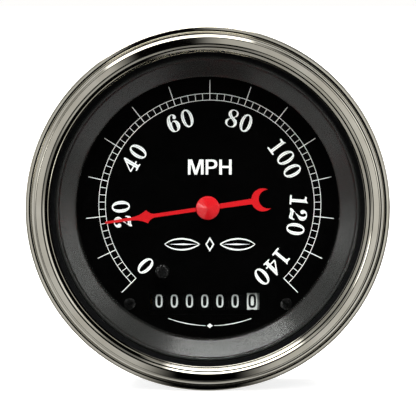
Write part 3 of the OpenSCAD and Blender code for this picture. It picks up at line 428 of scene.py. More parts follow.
# %% Shroud
shroud_outline = (
    [(42.3, -2.0), (42.3, -3.15), (42.25, -3.2), (38.9, -3.2)]
    + arc((38.4, -3.2), 0.5, 0, -180, 14)
    + [(37.88, -3.05)] + bow((37.84, -2.95), (33.86, -0.38), -0.02, 18)
    + [(33.7, -0.24), (33.62, 0.0), (33.5, 6.6), (33.5, 6.8), (33.56, 6.92), (33.7, 6.95), (34.3, 6.95), (34.4, 6.85)]
    + bow((34.4, 6.7), (38.9, -1.8), 0.9, 18) + [(38.95, -2.0)])
shroud = lathe("shroud_cone", shroud_outline, shroud_enamel, "case", steps=240, sharp=40)
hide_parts("shroud_ring")
print("shroud:", len(shroud.data.polygons), "faces")

# %% [markdown]
# ## The printed scale, by rule
#
# The scale is a ladder bent round the dial: two rails, a rung for each 2 mph
# and a long tick for each 10 mph. All of it follows from a few numbers, which
# is what Geometry Nodes are for. The tree below takes the radii, the line
# width and the number of steps, and lays one bar on each step's angle. It
# works flat; the last node stands the ladder up in front of the dial.

# %% Geometry Nodes helpers
INPUT_KINDS = {float: "NodeSocketFloat", int: "NodeSocketInt", bpy.types.Material: "NodeSocketMaterial"}


def new_tree(name, inputs):
    """A Geometry Nodes tree with named inputs; returns the tree and its input sockets."""
    tree = bpy.data.node_groups.new(name, "GeometryNodeTree")
    for label, value in inputs.items():
        socket = tree.interface.new_socket(label, in_out="INPUT", socket_type=INPUT_KINDS[type(value)])
        if not isinstance(value, bpy.types.Material):
            socket.default_value = value
    tree.interface.new_socket("Geometry", in_out="OUTPUT", socket_type="NodeSocketGeometry")
    return tree, node(tree, "NodeGroupInput").outputs


def close_tree(tree, geometry, finish):
    """Ends a tree: copies are made real, take their finish and come out as its result."""
    solid = node(tree, "GeometryNodeRealizeInstances", {"Geometry": geometry})
    painted = node(tree, "GeometryNodeSetMaterial", {"Geometry": solid, "Material": finish})
    node(tree, "NodeGroupOutput", {"Geometry": painted})


def grown(tree, values, spot=Matrix.Identity(4)):
    """Runs a tree with these values; gives what it makes as a plain mesh, moved to its spot."""
    seed = new_object("seed", bpy.data.meshes.new("seed"))
    modifier = seed.modifiers.new("tree", "NODES")
    modifier.node_group = tree
    for item in tree.interface.items_tree:
        if item.in_out == "INPUT":
            modifier[item.identifier] = values[item.name]
    mesh = bpy.data.meshes.new_from_object(seed.evaluated_get(bpy.context.evaluated_depsgraph_get()))
    bpy.data.objects.remove(seed)
    mesh.transform(spot)
    return mesh


print("a tree's inputs can be:", sorted(kind.__name__ for kind in INPUT_KINDS))

# %% The ladder scale's tree
RAIL_POINTS = 281
scale_inputs = {"Inner Radius": 0.02674, "Outer Radius": 0.02844, "Tick End": 0.03182, "Line Width": 0.000135,
                "Tick Width": 0.00018, "Ink": 0.00004, "Steps": 70, "Steps Per Tick": 5, "Start": math.radians(225),
                "Sweep": math.radians(270), "Centre X": 0.0, "Centre Z": 0.0, "Front": 0.007,
                "Finish": ink_white}
scale_tree, given = new_tree("ladder_scale", scale_inputs)
put = partial(node, scale_tree)
film = put("GeometryNodeCurvePrimitiveQuadrilateral", {"Width": given["Line Width"], "Height": given["Ink"]})
low_end = put("ShaderNodeMath", {0: given["Start"], 1: given["Sweep"]}, operation="SUBTRACT")
parts = []
for radius in ("Inner Radius", "Outer Radius"):
    rail = put("GeometryNodeCurveArc", {"Resolution": RAIL_POINTS, "Radius": given[radius], "Start Angle": low_end,
                                        "Sweep Angle": given["Sweep"]})
    parts.append(put("GeometryNodeCurveToMesh", {"Curve": rail, "Profile Curve": film, "Fill Caps": True}))
count = put("ShaderNodeMath", {0: given["Steps"], 1: 1}, operation="ADD")
row = put("GeometryNodePoints", {"Count": count})
index = put("GeometryNodeInputIndex")
step = put("ShaderNodeMath", {0: given["Sweep"], 1: given["Steps"]}, operation="DIVIDE")
passed = put("ShaderNodeMath", {0: index, 1: step}, operation="MULTIPLY")
angle = put("ShaderNodeMath", {0: given["Start"], 1: passed}, operation="SUBTRACT")
turn = put("FunctionNodeAxisAngleToRotation", {"Axis": (0, 0, 1), "Angle": angle})
within = put("ShaderNodeMath", {0: index, 1: given["Steps Per Tick"]}, operation="MODULO")
on_tick = put("FunctionNodeCompare", {"A": within, "B": 0}, data_type="INT", operation="EQUAL")
not_tick = put("FunctionNodeBooleanMath", {0: on_tick}, operation="NOT")
bar_start = put("ShaderNodeCombineXYZ", {"X": given["Inner Radius"]})
for end, width, chosen in (("Outer Radius", "Line Width", not_tick), ("Tick End", "Tick Width", on_tick)):
    bar_end = put("ShaderNodeCombineXYZ", {"X": given[end]})
    line = put("GeometryNodeCurvePrimitiveLine", {"Start": bar_start, "End": bar_end})
    flat = put("GeometryNodeCurvePrimitiveQuadrilateral", {"Width": given[width], "Height": given["Ink"]})
    bar = put("GeometryNodeCurveToMesh", {"Curve": line, "Profile Curve": flat, "Fill Caps": True})
    parts.append(put("GeometryNodeInstanceOnPoints",
                     {"Points": row, "Selection": chosen, "Instance": bar, "Rotation": turn}))
half_tick = put("ShaderNodeMath", {0: given["Tick Width"], 1: 0.5}, operation="MULTIPLY")
cap_shape = put("GeometryNodeMeshCylinder", {"Vertices": 12, "Radius": half_tick, "Depth": given["Ink"]})
tick_cap = put("GeometryNodeTransform", {"Geometry": cap_shape, "Translation": bar_end})
parts.append(put("GeometryNodeInstanceOnPoints",
                 {"Points": row, "Selection": on_tick, "Instance": tick_cap, "Rotation": turn}))
joined = put("GeometryNodeJoinGeometry", {"Geometry": parts})
middle = put("ShaderNodeCombineXYZ", {"X": given["Centre X"], "Y": given["Front"], "Z": given["Centre Z"]})
stood = put("GeometryNodeTransform",
            {"Geometry": joined, "Rotation": (math.radians(90), 0, 0), "Translation": middle})
close_tree(scale_tree, stood, given["Finish"])
print("ladder tree:", len(scale_tree.nodes), "nodes")

# %% The scale on the dial
# The print sits a little high and right of the axis, as silk-screened dials do.
PRINT_X, PRINT_Z, DIAL_Y = 0.5, 0.73, 7.0
scale = piece("scale_print", [grown(scale_tree, scale_inputs | {"Centre X": PRINT_X * MM, "Centre Z": PRINT_Z * MM})],
              ink_white, "case")
print("scale:", len(scale.data.polygons), "faces")

# %% [markdown]
# ## Numerals
#
# The figures are a fat-faced serif style: heavy curved strokes, thin joins,
# ball ends. No font is needed: each figure is a closed outline or two, drawn
# on a grid that is one unit high. Blender's curves fill an outline and leave
# its holes open, and automatic handles turn a dozen points into a smooth form.
# A third value marks a sharp corner.


# %% Outlines of the figures
def round_line(cx, cy, rx, ry, start, end, power, steps):
    """Points along an oval from one angle to another; a power above 2 gives it flatter sides."""
    line = []
    for i in range(steps + 1):
        a = math.radians(start + (end - start) * i / steps)
        c, s = math.cos(a), math.sin(a)
        line.append((cx + rx * math.copysign(abs(c) ** (2 / power), c),
                     cy + ry * math.copysign(abs(s) ** (2 / power), s)))
    return line


FIGURES = {
    "0": (0.64, [round_line(0.32, 0.5, 0.32, 0.502, 0, 360, 2.1, 16)[:-1],
                 round_line(0.32, 0.5, 0.148, 0.432, 0, 360, 2.2, 16)[:-1]]),
    "1": (0.527, [
        [(0.028, 0, 1), (0.499, 0, 1), (0.527, 0.045), (0.499, 0.09, 1), (0.391, 0.095, 1), (0.372, 0.12, 1),
         (0.376, 0.9, 1), (0.404, 0.99, 1), (0.372, 1.005, 1), (0.301, 0.95), (0.188, 0.925), (0.084, 0.93),
         (0.038, 0.88), (0.084, 0.835), (0.17, 0.82), (0.211, 0.77, 1), (0.211, 0.12, 1), (0.188, 0.095, 1),
         (0.028, 0.09, 1), (0, 0.045)]]),
    "2": (0.656, [
        [(0.279, 0.981), (0.122, 0.919), (0.035, 0.786), (0.045, 0.667), (0.135, 0.596), (0.233, 0.64),
         (0.252, 0.728), (0.199, 0.819), (0.235, 0.912), (0.322, 0.93), (0.392, 0.867), (0.414, 0.74), (0.383, 0.595),
         (0.278, 0.412), (0.113, 0.221), (0.014, 0.095), (0.014, 0.013), (0.05, 0.009), (0.162, 0.044),
         (0.31, 0.034), (0.432, 0.009), (0.535, 0.014), (0.581, 0.085), (0.619, 0.301), (0.592, 0.312),
         (0.554, 0.229), (0.452, 0.19), (0.325, 0.216), (0.189, 0.24), (0.298, 0.37), (0.452, 0.481),
         (0.592, 0.608), (0.63, 0.74), (0.592, 0.862), (0.456, 0.966)]]),
    "4": (0.712, [
        [(0.241, 0.012, 1), (0.635, 0.012, 1), (0.66, 0.045), (0.633, 0.079, 1), (0.59, 0.083, 1),
         (0.552, 0.114, 1), (0.552, 0.253, 1), (0.621, 0.247), (0.664, 0.247), (0.697, 0.29), (0.666, 0.332),
         (0.622, 0.328), (0.552, 0.322, 1), (0.552, 0.966), (0.534, 0.987), (0.475, 0.979), (0.447, 0.933, 1),
         (0.031, 0.355, 1), (0.013, 0.301), (0.039, 0.252, 1), (0.363, 0.252, 1), (0.363, 0.114, 1),
         (0.325, 0.083, 1), (0.241, 0.078, 1), (0.218, 0.045)],
        [(0.09, 0.323, 1), (0.363, 0.323, 1), (0.355, 0.695, 1)]]),
    "6": (0.679, [
        [(0.385, 0.991), (0.528, 0.948), (0.603, 0.828), (0.577, 0.721), (0.489, 0.695), (0.42, 0.747),
         (0.42, 0.816), (0.462, 0.89), (0.422, 0.956), (0.336, 0.932), (0.261, 0.825), (0.234, 0.681),
         (0.239, 0.537, 1), (0.322, 0.607), (0.424, 0.63), (0.568, 0.569), (0.655, 0.426), (0.665, 0.282),
         (0.596, 0.109), (0.451, 0.014), (0.336, 0.004), (0.191, 0.042), (0.074, 0.186), (0.014, 0.421),
         (0.034, 0.667), (0.113, 0.862), (0.24, 0.967)],
        [(0.471, 0.31), (0.463, 0.425), (0.443, 0.508), (0.409, 0.564), (0.355, 0.585), (0.301, 0.564),
         (0.267, 0.508), (0.246, 0.425), (0.239, 0.31), (0.246, 0.195), (0.267, 0.112), (0.301, 0.056),
         (0.354, 0.035), (0.409, 0.056), (0.443, 0.112), (0.463, 0.195)]]),
    "8": (0.680, [
        [(0.358, 0.991), (0.522, 0.948), (0.604, 0.808), (0.56, 0.668), (0.448, 0.569), (0.592, 0.461),
         (0.66, 0.318), (0.641, 0.166), (0.544, 0.052), (0.387, 0.004), (0.209, 0.024), (0.063, 0.109), (0.015, 0.24),
         (0.063, 0.371), (0.216, 0.489), (0.095, 0.607), (0.061, 0.759), (0.124, 0.911), (0.23, 0.976)],
        [(0.349, 0.955), (0.462, 0.9), (0.506, 0.78), (0.441, 0.62), (0.387, 0.593), (0.265, 0.691), (0.21, 0.809),
         (0.244, 0.921)],
        [(0.263, 0.458), (0.398, 0.381), (0.505, 0.255), (0.505, 0.134), (0.416, 0.047), (0.305, 0.036),
         (0.194, 0.079), (0.144, 0.198), (0.161, 0.346)]]),
}
# The grey strip that lights the middle of each heavy stroke.
INLINES = {
    "0": [[(0.32 + side * x, y) for x, y in ((0.254, 0.5), (0.23, 0.7), (0.17, 0.86), (0.198, 0.7), (0.216, 0.5),
                                             (0.198, 0.3), (0.17, 0.14), (0.23, 0.3))] for side in (-1, 1)],
    "1": [
        [(0.275, 0.12, 1), (0.312, 0.12, 1), (0.312, 0.88, 1), (0.275, 0.86, 1)]],
    "2": [
        [(0.512, 0.89), (0.533, 0.74), (0.471, 0.59), (0.368, 0.46), (0.492, 0.56), (0.573, 0.74)],
        [(0.133, 0.12), (0.307, 0.13), (0.502, 0.1), (0.307, 0.09)]],
    "4": [
        [(0.432, 0.1, 1), (0.483, 0.1, 1), (0.483, 0.84, 1), (0.432, 0.78, 1)]],
    "6": [
        [(0.107, 0.45), (0.126, 0.68), (0.182, 0.84), (0.147, 0.66), (0.142, 0.45), (0.157, 0.26), (0.203, 0.12),
         (0.132, 0.24)],
        [(0.558, 0.3), (0.547, 0.42), (0.497, 0.52), (0.528, 0.42), (0.522, 0.3), (0.517, 0.2), (0.476, 0.1),
         (0.547, 0.2)]],
    "8": [
        [(0.174, 0.74), (0.256, 0.6), (0.409, 0.48), (0.512, 0.38), (0.552, 0.26), (0.481, 0.37), (0.369, 0.47),
         (0.215, 0.58)]],
}
print("figures drawn:", sorted(FIGURES))

# %% Ink films
INK_MM = 0.04


def film_mesh(loops, place, thickness=INK_MM):
    """A filled flat form with real thickness, each point set by place(x, y, height)."""
    curve = bpy.data.curves.new("film", "CURVE")
    curve.dimensions, curve.fill_mode, curve.resolution_u, curve.extrude = "2D", "BOTH", 6, 0.5
    for loop in loops:
        line = curve.splines.new("BEZIER")
        line.bezier_points.add(len(loop) - 1)
        line.use_cyclic_u = True
        for point, spot in zip(line.bezier_points, loop):
            point.co = (spot[0], spot[1], 0)
            point.handle_left_type = point.handle_right_type = "VECTOR" if len(spot) > 2 else "AUTO"
    holder = new_object("film", curve)
    bpy.context.view_layer.update()
    mesh = bpy.data.meshes.new_from_object(holder.evaluated_get(bpy.context.evaluated_depsgraph_get()))
    bpy.data.objects.remove(holder)
    for v in mesh.vertices:
        v.co = Vector(place(v.co.x, v.co.y, (v.co.z + 0.5) * thickness)) * MM
    return mesh


def on_face(x, y, h):
    """A place in the dial's print, with height towards the glass."""
    return (PRINT_X + x, DIAL_Y - h, PRINT_Z + y)


print("the print's own middle, in mm:", on_face(0, 0, 0))

# %% [markdown]
# ## Setting the figures round the dial
#
# The figures of one number follow the circle side by side, and stand nearly
# parallel, with their feet towards the hub. So each figure needs the angle of
# its own middle and a lean towards the middle of its number.

# %% Numerals on the dial
FIGURE_H, FIGURE_R = 4.6, 22.8
# For each number: how far its figures lean towards its middle, then their angles.
NUMBERS = {"0": (0.0, -136.3), "20": (0.7, 191.2, 181.5), "40": (0.7, 153.4, 143.6), "60": (0.75, 114.3, 104.7),
           "80": (0.75, 75.4, 66.1), "100": (0.45, 40.9, 31.7, 22.2), "120": (0.7, 2.7, -6.7, -16.0),
           "140": (0.35, -36.1, -44.6, -54.1)}


def on_dial(angle, lean, width, proud):
    """Places a figure's grid at an angle of the dial, upright along the radius at lean."""
    a, b = math.radians(angle), math.radians(lean)

    def place(x, y, h):
        up, right = (y - 0.5) * FIGURE_H, (x - width / 2) * FIGURE_H
        return on_face(FIGURE_R * math.cos(a) + up * math.cos(b) + right * math.sin(b),
                       FIGURE_R * math.sin(a) + up * math.sin(b) - right * math.cos(b), proud + h)
    return place


white, grey = [], []
for number, (lean_by, *angles) in NUMBERS.items():
    mean = sum(angles) / len(angles)
    for figure, angle in zip(number, angles):
        lean = angle + lean_by * (mean - angle)
        width, loops = FIGURES[figure]
        white.append(film_mesh(loops, on_dial(angle, lean, width, 0.0)))
        grey += [film_mesh([strip], on_dial(angle, lean, width, INK_MM / 2)) for strip in INLINES[figure]]
numerals = piece("numeral_print", white, ink_white, "case")
inlines = piece("numeral_inline_print", grey, ink_grey, "case")
print("numerals:", len(numerals.data.polygons), "faces, inlines:", len(inlines.data.polygons))

# %% [markdown]
# ## The unit word and the ornament
#
# The unit is set in a plain heavy sans. Below the hub goes a coach-painter's
# ornament: a slim diamond with a tapered line to each side, mirrored. A thin
# rule and a small diamond close the foot of the dial.

# %% Unit word
UNIT = {
    "M": (3.997, [
        [(0, 0, 1), (0.643, 0, 1), (0.708, 2.888, 1), (1.677, 0, 1), (2.32, 0, 1), (3.289, 2.888, 1), (3.354, 0, 1),
         (3.997, 0, 1), (3.997, 3.869, 1), (2.921, 3.869, 1), (1.998, 1.061, 1), (1.076, 3.869, 1), (0, 3.869, 1)]]),
    "P": (2.961, [
        [(0, 0, 1), (0.682, 0, 1), (0.682, 1.48, 1), (1.645, 1.48, 1), (2.405, 1.651), (2.868, 2.132),
         (2.96, 2.669), (2.867, 3.199), (2.404, 3.707), (1.646, 3.869, 1), (0, 3.869, 1)],
        [(0.682, 2.024, 1), (0.682, 3.335, 1), (1.517, 3.335, 1), (2.032, 3.163), (2.258, 2.679), (2.032, 2.195),
         (1.517, 2.024, 1)]]),
    "H": (3.158, [
        [(0, 0, 1), (0.682, 0, 1), (0.682, 1.677, 1), (2.476, 1.677, 1), (2.476, 0, 1), (3.158, 0, 1),
         (3.158, 3.869, 1), (2.476, 3.869, 1), (2.476, 2.24, 1), (0.682, 2.24, 1), (0.682, 3.869, 1),
         (0, 3.869, 1)]]),
}
UNIT_LEFT, UNIT_FOOT, LETTER_GAP = -5.6, 7.66, 0.53
pen, letters = UNIT_LEFT, []
for letter in "MPH":
    width, loops = UNIT[letter]
    letters.append(film_mesh(loops, lambda x, y, h, pen=pen: on_face(pen + x, UNIT_FOOT + y, h)))
    pen += width + LETTER_GAP
unit_word = piece("unit_print", letters, ink_white, "case")
print("unit word:", round(unit_word.dimensions.x / MM, 2), "mm wide")


# %% Ornament
def stripe(points, half_widths):
    """A tapered line through points as one closed loop."""
    left, right = [], []
    for i, ((x, y), w) in enumerate(zip(points, half_widths)):
        ahead, behind = points[min(i + 1, len(points) - 1)], points[max(i - 1, 0)]
        dx, dy = ahead[0] - behind[0], ahead[1] - behind[1]
        n = math.hypot(dx, dy)
        left.append((x - dy / n * w, y + dx / n * w))
        right.append((x + dy / n * w, y - dx / n * w))
    return left + right[::-1]


def diamond(y, half_width, half_height):
    """A diamond on the dial's middle line."""
    return [(0, y + half_height, 1), (half_width, y, 1), (0, y - half_height, 1), (-half_width, y, 1)]


ORNAMENT_Y, RULE_R = -10.2, 31.1
forms = []
for side in (-1, 1):
    for flip in (-1, 1):
        line = [(side * x, ORNAMENT_Y + flip * y) for x, y in
                ((2.6, 0.0), (4.0, 0.75), (6.0, 1.3), (8.2, 1.35), (10.2, 0.85), (11.6, 0.0))]
        forms.append([stripe(line, (0.05, 0.16, 0.2, 0.17, 0.12, 0.03))])
    forms.append([[(side * x, ORNAMENT_Y + y, 1) for x, y in ((3.3, 0), (6.8, 0.22), (10.4, 0), (6.8, -0.22))]])
forms.append([diamond(ORNAMENT_Y, 1.15, 1.9), diamond(ORNAMENT_Y, 0.72, 1.2)])
for first, last in ((-110, -92), (-88, -70)):
    angles = [math.radians(a) for a in range(first, last + 1, 2)]
    taper = [0.03 + 0.07 * math.sin(math.pi * i / (len(angles) - 1)) for i in range(len(angles))]
    forms.append([stripe([(RULE_R * math.cos(a), RULE_R * math.sin(a)) for a in angles], taper)])
forms.append([diamond(-RULE_R, 0.75, 0.6)])
ornament = piece("ornament_print", [film_mesh(loops, on_face) for loops in forms], ink_white, "case")
print("ornament:", len(ornament.data.polygons), "faces")

# %% [markdown]
# ## Dial screws and the stop pin
#
# Two blackened pan-head screws hold the dial, and a rubber-capped pin stops the
# needle at rest. Screws repeat, so one tree makes them: a head with a domed
# face and a slot cut by a Boolean. It is grown once for each screw and turned
# and moved to its place, since no two slots point the same way.

# %% Slotted screw tree
# The head's dome falls by this part of its height, in this power of the radius; the slot is this many radii long.
DOME_FALL, DOME_POWER, SLOT_LENGTH = -0.38, 3.0, 2.4
screw_inputs = {"Head Radius": 0.0015, "Head Height": 0.0007, "Slot Width": 0.0005, "Slot Depth": 0.0004,
                "Shank Radius": 0.00095, "Shank Length": 0.006, "Finish": black_oxide}
screw_tree, given = new_tree("slotted_screw", screw_inputs)
put = partial(node, screw_tree)
disc = put("GeometryNodeMeshCylinder",
           {"Vertices": 48, "Fill Segments": 6, "Radius": given["Head Radius"], "Depth": given["Head Height"]})
x, y, z = put("ShaderNodeSeparateXYZ", {0: put("GeometryNodeInputPosition")}).outputs
across = put("ShaderNodeCombineXYZ", {"X": x, "Y": y})
reach = put("ShaderNodeVectorMath", {0: across}, operation="LENGTH")
share = put("ShaderNodeMath", {0: reach, 1: given["Head Radius"]}, operation="DIVIDE")
fall = put("ShaderNodeMath", {0: share, 1: DOME_POWER}, operation="POWER")
crown = put("ShaderNodeMath", {0: given["Head Height"], 1: DOME_FALL}, operation="MULTIPLY")
sink = put("ShaderNodeMath", {0: fall, 1: crown}, operation="MULTIPLY")
front = put("FunctionNodeCompare", {"A": z, "B": 0.0}, data_type="FLOAT", operation="GREATER_THAN")
domed = put("GeometryNodeSetPosition",
            {"Geometry": disc, "Selection": front, "Offset": put("ShaderNodeCombineXYZ", {"Z": sink})})
long = put("ShaderNodeMath", {0: given["Head Radius"], 1: SLOT_LENGTH}, operation="MULTIPLY")
deep = put("ShaderNodeMath", {0: given["Slot Depth"], 1: 2.0}, operation="MULTIPLY")
slot_size = put("ShaderNodeCombineXYZ", {"X": long, "Y": given["Slot Width"], "Z": deep})
face = put("ShaderNodeMath", {0: given["Head Height"], 1: 0.5}, operation="MULTIPLY")
slot_box = put("GeometryNodeTransform", {"Geometry": put("GeometryNodeMeshCube", {"Size": slot_size}),
                                         "Translation": put("ShaderNodeCombineXYZ", {"Z": face})})
cut = put("GeometryNodeMeshBoolean", {"Mesh 1": domed, "Mesh 2": slot_box}, operation="DIFFERENCE", solver="EXACT")
shank = put("GeometryNodeMeshCylinder",
            {"Vertices": 32, "Radius": given["Shank Radius"], "Depth": given["Shank Length"]})
total = put("ShaderNodeMath", {0: given["Shank Length"], 1: given["Head Height"]}, operation="ADD")
# A little less than half, so that the shank reaches into the head.
drop = put("ShaderNodeMath", {0: total, 1: -0.499}, operation="MULTIPLY")
shank_down = put("GeometryNodeTransform",
                 {"Geometry": shank, "Translation": put("ShaderNodeCombineXYZ", {"Z": drop})})
close_tree(screw_tree, put("GeometryNodeJoinGeometry", {"Geometry": [cut, shank_down]}), given["Finish"])
print("screw tree:", len(screw_tree.nodes), "nodes")


# %% Dial screws
def set_screws(name, values, places, side, seat):
    """A screw at each (x, z, turn). side is -1 for heads that face the driver; seat is the depth they sit on."""
    values = screw_inputs | values
    meshes = []
    for x, z, turn in places:
        spot = Matrix.Translation((x * MM, seat * MM + side * values["Head Height"] / 2, z * MM))
        stand = Matrix.Rotation(math.radians(-90 * side), 4, "X")
        meshes.append(grown(screw_tree, values, spot @ stand @ Matrix.Rotation(math.radians(turn), 4, "Z")))
    made = piece(name, meshes, values["Finish"], "case", 30)
    return made


dial_screws = set_screws("dial_screw_pair", {}, [(-20.1, -24.8, 25), (20.1, -24.8, -40)], -1, DIAL_Y)
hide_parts("dial_screws")
print("dial screws:", len(dial_screws.data.polygons), "faces")

# %% Stop pin
PIN_X, PIN_Z = -11.64, -16.38
pin_outline = ([(0, 8.3), (0.8, 8.3), (0.8, 7.0), (1.72, 7.0), (1.8, 6.92), (1.8, 3.5)]
               + arc((1.05, 3.4), 0.75, 0, -80, 10)[1:] + [(0.9, 2.63), (0.5, 2.6), (0.0, 2.6)])
stop_pin = lathe("stop_pin", pin_outline, pin_rubber, "case", centre=(PIN_X, PIN_Z), steps=64)
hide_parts("pointer_stop")
print("stop pin:", len(stop_pin.data.polygons), "faces")

# %% [markdown]
# ## Pointer and cap
#
# The needle is thin blanked sheet in red lacquer: a long blade that swells into
# a spade near its tip, and a short tail that carries a crescent to balance it.
# A moulded cone covers the hub. Blanked edges aren't razor sharp, so the plate
# gets a small bevel; that is what catches the light along its edge.

# %% Pointer blade
POINTER_ANGLE, BLADE_FRONT, BLADE_T, EDGE_ROUND = 188.3, 3.2, 0.5, 0.07
upper = ([(0.0, 0.51)] + bow((13.9, 0.46), (15.7, 1.7), -0.22, 6) + bow((15.7, 1.7), (20.0, 0.4), -0.36, 8)[1:]
         + [(26.2, 0.3)])
tip = [(26.5, 0.22), (26.6, 0.0), (26.5, -0.22)]
# The crescent is one disc less another: each has its middle on the needle's line, and a radius.
(out_x, out_r), (in_x, in_r) = (-14.2, 2.95), (-15.6, 2.42)
horn_x = (in_r ** 2 - out_r ** 2 + out_x ** 2 - in_x ** 2) / (2 * (out_x - in_x))
horn_y = math.sqrt(out_r ** 2 - (horn_x - out_x) ** 2)
out_end, in_end = math.atan2(horn_y, horn_x - out_x), math.atan2(horn_y, horn_x - in_x)
neck = math.asin(0.7 / out_r)
outer = [neck + (out_end - neck) * i / 20 for i in range(21)]
inner = [in_end * (1 - i / 12) for i in range(1, 13)]
tail = ([(out_x + out_r * math.cos(a), out_r * math.sin(a)) for a in outer]
        + [(in_x + in_r * math.cos(a), in_r * math.sin(a)) for a in inner])
tail_below = [(x, -y) for x, y in tail]
outline = (upper + tip + [(x, -y) for x, y in reversed(upper)]
           + [(0.0, -0.59)] + tail_below[:-1] + tail[::-1] + [(0.0, 0.59)])

turn = Matrix.Rotation(math.radians(-POINTER_ANGLE), 4, "Y")
n = len(outline)
plate = plain_mesh([turn @ Vector((x, y, z)) for y in (BLADE_FRONT, BLADE_FRONT + BLADE_T) for x, z in outline],
                   [list(range(n)), list(range(2 * n - 1, n - 1, -1))]
                   + [[i, i + n, (i + 1) % n + n, (i + 1) % n] for i in range(n)])
pointer = piece("pointer_blade", [plate], pointer_lacquer, "pointer_group", 25)
edge = pointer.modifiers.new("edge", "BEVEL")
edge.width, edge.segments, edge.limit_method, edge.angle_limit = EDGE_ROUND * MM, 2, "ANGLE", math.radians(50)
hub = lathe("pointer_hub", [(0, 3.3), (2.1, 3.3), (2.2, 3.4), (2.2, 4.9), (2.1, 5.0), (0, 5.0)], pointer_lacquer,
            "pointer_group", steps=64)
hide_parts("pointer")
print("pointer:", len(pointer.data.polygons), "faces, length", max(x for x, _ in outline), "mm")

# %% Hub cap
cap_outline = [(0.0, 1.2), (0.12, 1.205), (0.25, 1.245), (0.36, 1.3), (0.45, 1.329), (2.7, 2.048), (2.8, 2.08),
               (2.9, 2.13), (2.98, 2.2), (3.03, 2.3), (3.04, 2.4), (3.04, 3.12), (2.98, 3.2), (0.0, 3.2)]
cap = lathe("pointer_cone", cap_outline, cap_plastic, "pointer_group", steps=96, sharp=40)
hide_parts("pointer_cap")
print("cap:", len(cap.data.polygons), "faces")

# %% [markdown]
# ## Digits on the number wheels
#
# Each wheel carries 0 to 9 round its rim, a tenth of a turn apart. The digits
# are drawn as one pen line with an even width. The pen line is cut into short
# steps, given its width and thickness, and then wrapped on the drum: across
# stays across, and up becomes the angle. The next digit waits just above the
# window until the wheel rolls down.

# %% Pen lines of the digits, in millimetres about the digit's middle
# The step along a pen line, and the most that a sharp corner may widen it.
PEN_STEP, CORNER_LIMIT = 0.22, 1.6


def ring(cx, cy, rx, ry, power=2.6):
    """A closed pen line that starts at its top."""
    return round_line(cx, cy, rx, ry, 90, 450, power, 28)


PEN = {
    "0": [ring(0, 0, 0.7, 1.6, 3.2)],
    "1": [[(-0.55, 1.1), (-0.1, 1.35), (0.15, 1.6), (0.15, -1.6)], [(-0.45, -1.6), (0.7, -1.6)]],
    "2": [round_line(0, 0.75, 0.78, 0.85, 170, -20, 2.2, 14)
          + [(0.45, 0.0), (-0.5, -0.95), (-0.78, -1.6), (0.8, -1.6)]],
    "3": [round_line(0, 0.8, 0.7, 0.8, 160, -80, 2.2, 14) + [(-0.15, 0.02)],
          [(-0.15, 0.02)] + round_line(0, -0.78, 0.78, 0.8, 80, -160, 2.2, 14)],
    "4": [[(0.35, -1.6), (0.35, 1.6), (-0.8, -0.65), (0.85, -0.65)]],
    "5": [[(0.7, 1.6), (-0.6, 1.6), (-0.7, 0.2)] + round_line(0, -0.62, 0.78, 0.98, 110, -160, 2.2, 16)],
    "6": [[(0.6, 1.45), (0.1, 1.6), (-0.45, 1.2), (-0.78, 0.2), (-0.78, -0.7)], ring(0, -0.7, 0.78, 0.9)],
    "7": [[(-0.78, 1.6), (0.78, 1.6), (0.2, 0.2), (-0.1, -1.6)]],
    "8": [ring(0, 0.82, 0.66, 0.78), ring(0, -0.78, 0.78, 0.82)],
    "9": [[(-0.6, -1.45), (-0.1, -1.6), (0.45, -1.2), (0.78, -0.2), (0.78, 0.7)], ring(0, 0.7, 0.78, 0.9)],
}


def pen_strip(line, width):
    """Cuts a pen line into short steps; returns each point with half the width across, and whether it closes."""
    fine = [line[0]]
    for p, q in zip(line, line[1:]):
        n = max(1, round(math.dist(p, q) / PEN_STEP))
        fine += [(p[0] + (q[0] - p[0]) * i / n, p[1] + (q[1] - p[1]) * i / n) for i in range(1, n + 1)]
    closed = math.dist(fine[0], fine[-1]) < 1e-6
    if closed:
        fine = fine[:-1]
    rows = []
    for i, p in enumerate(fine):
        b = fine[i - 1] if (closed or i) else p
        a = fine[(i + 1) % len(fine)] if (closed or i < len(fine) - 1) else p
        d1, d2 = (p[0] - b[0], p[1] - b[1]), (a[0] - p[0], a[1] - p[1])
        l1, l2 = math.hypot(*d1) or 1.0, math.hypot(*d2) or 1.0
        t = (d1[0] / l1 + d2[0] / l2, d1[1] / l1 + d2[1] / l2)
        n = math.hypot(*t) or 1.0
        stretch = min(CORNER_LIMIT, 1 / max(0.5, n / 2 if (b != p and a != p) else 1.0))
        rows.append((p, (-t[1] / n * width / 2 * stretch, t[0] / n * width / 2 * stretch)))
    return rows, closed


print("pen lines:", sum(len(lines) for lines in PEN.values()))


# %% Digits on the drums
# The axle's depth and height, the drums' radius, and how deep the ink reaches in and stands out.
AXLE_Y, AXLE_Z, DRUM_R, INK_IN, INK_OUT = 14.7, -24.7, 6.35, 0.02, 0.03
# How far the digits stand above the axle's height, and how tall they are beside the pen lines.
DIGIT_UP, DIGIT_TALL = 0.62, 0.93


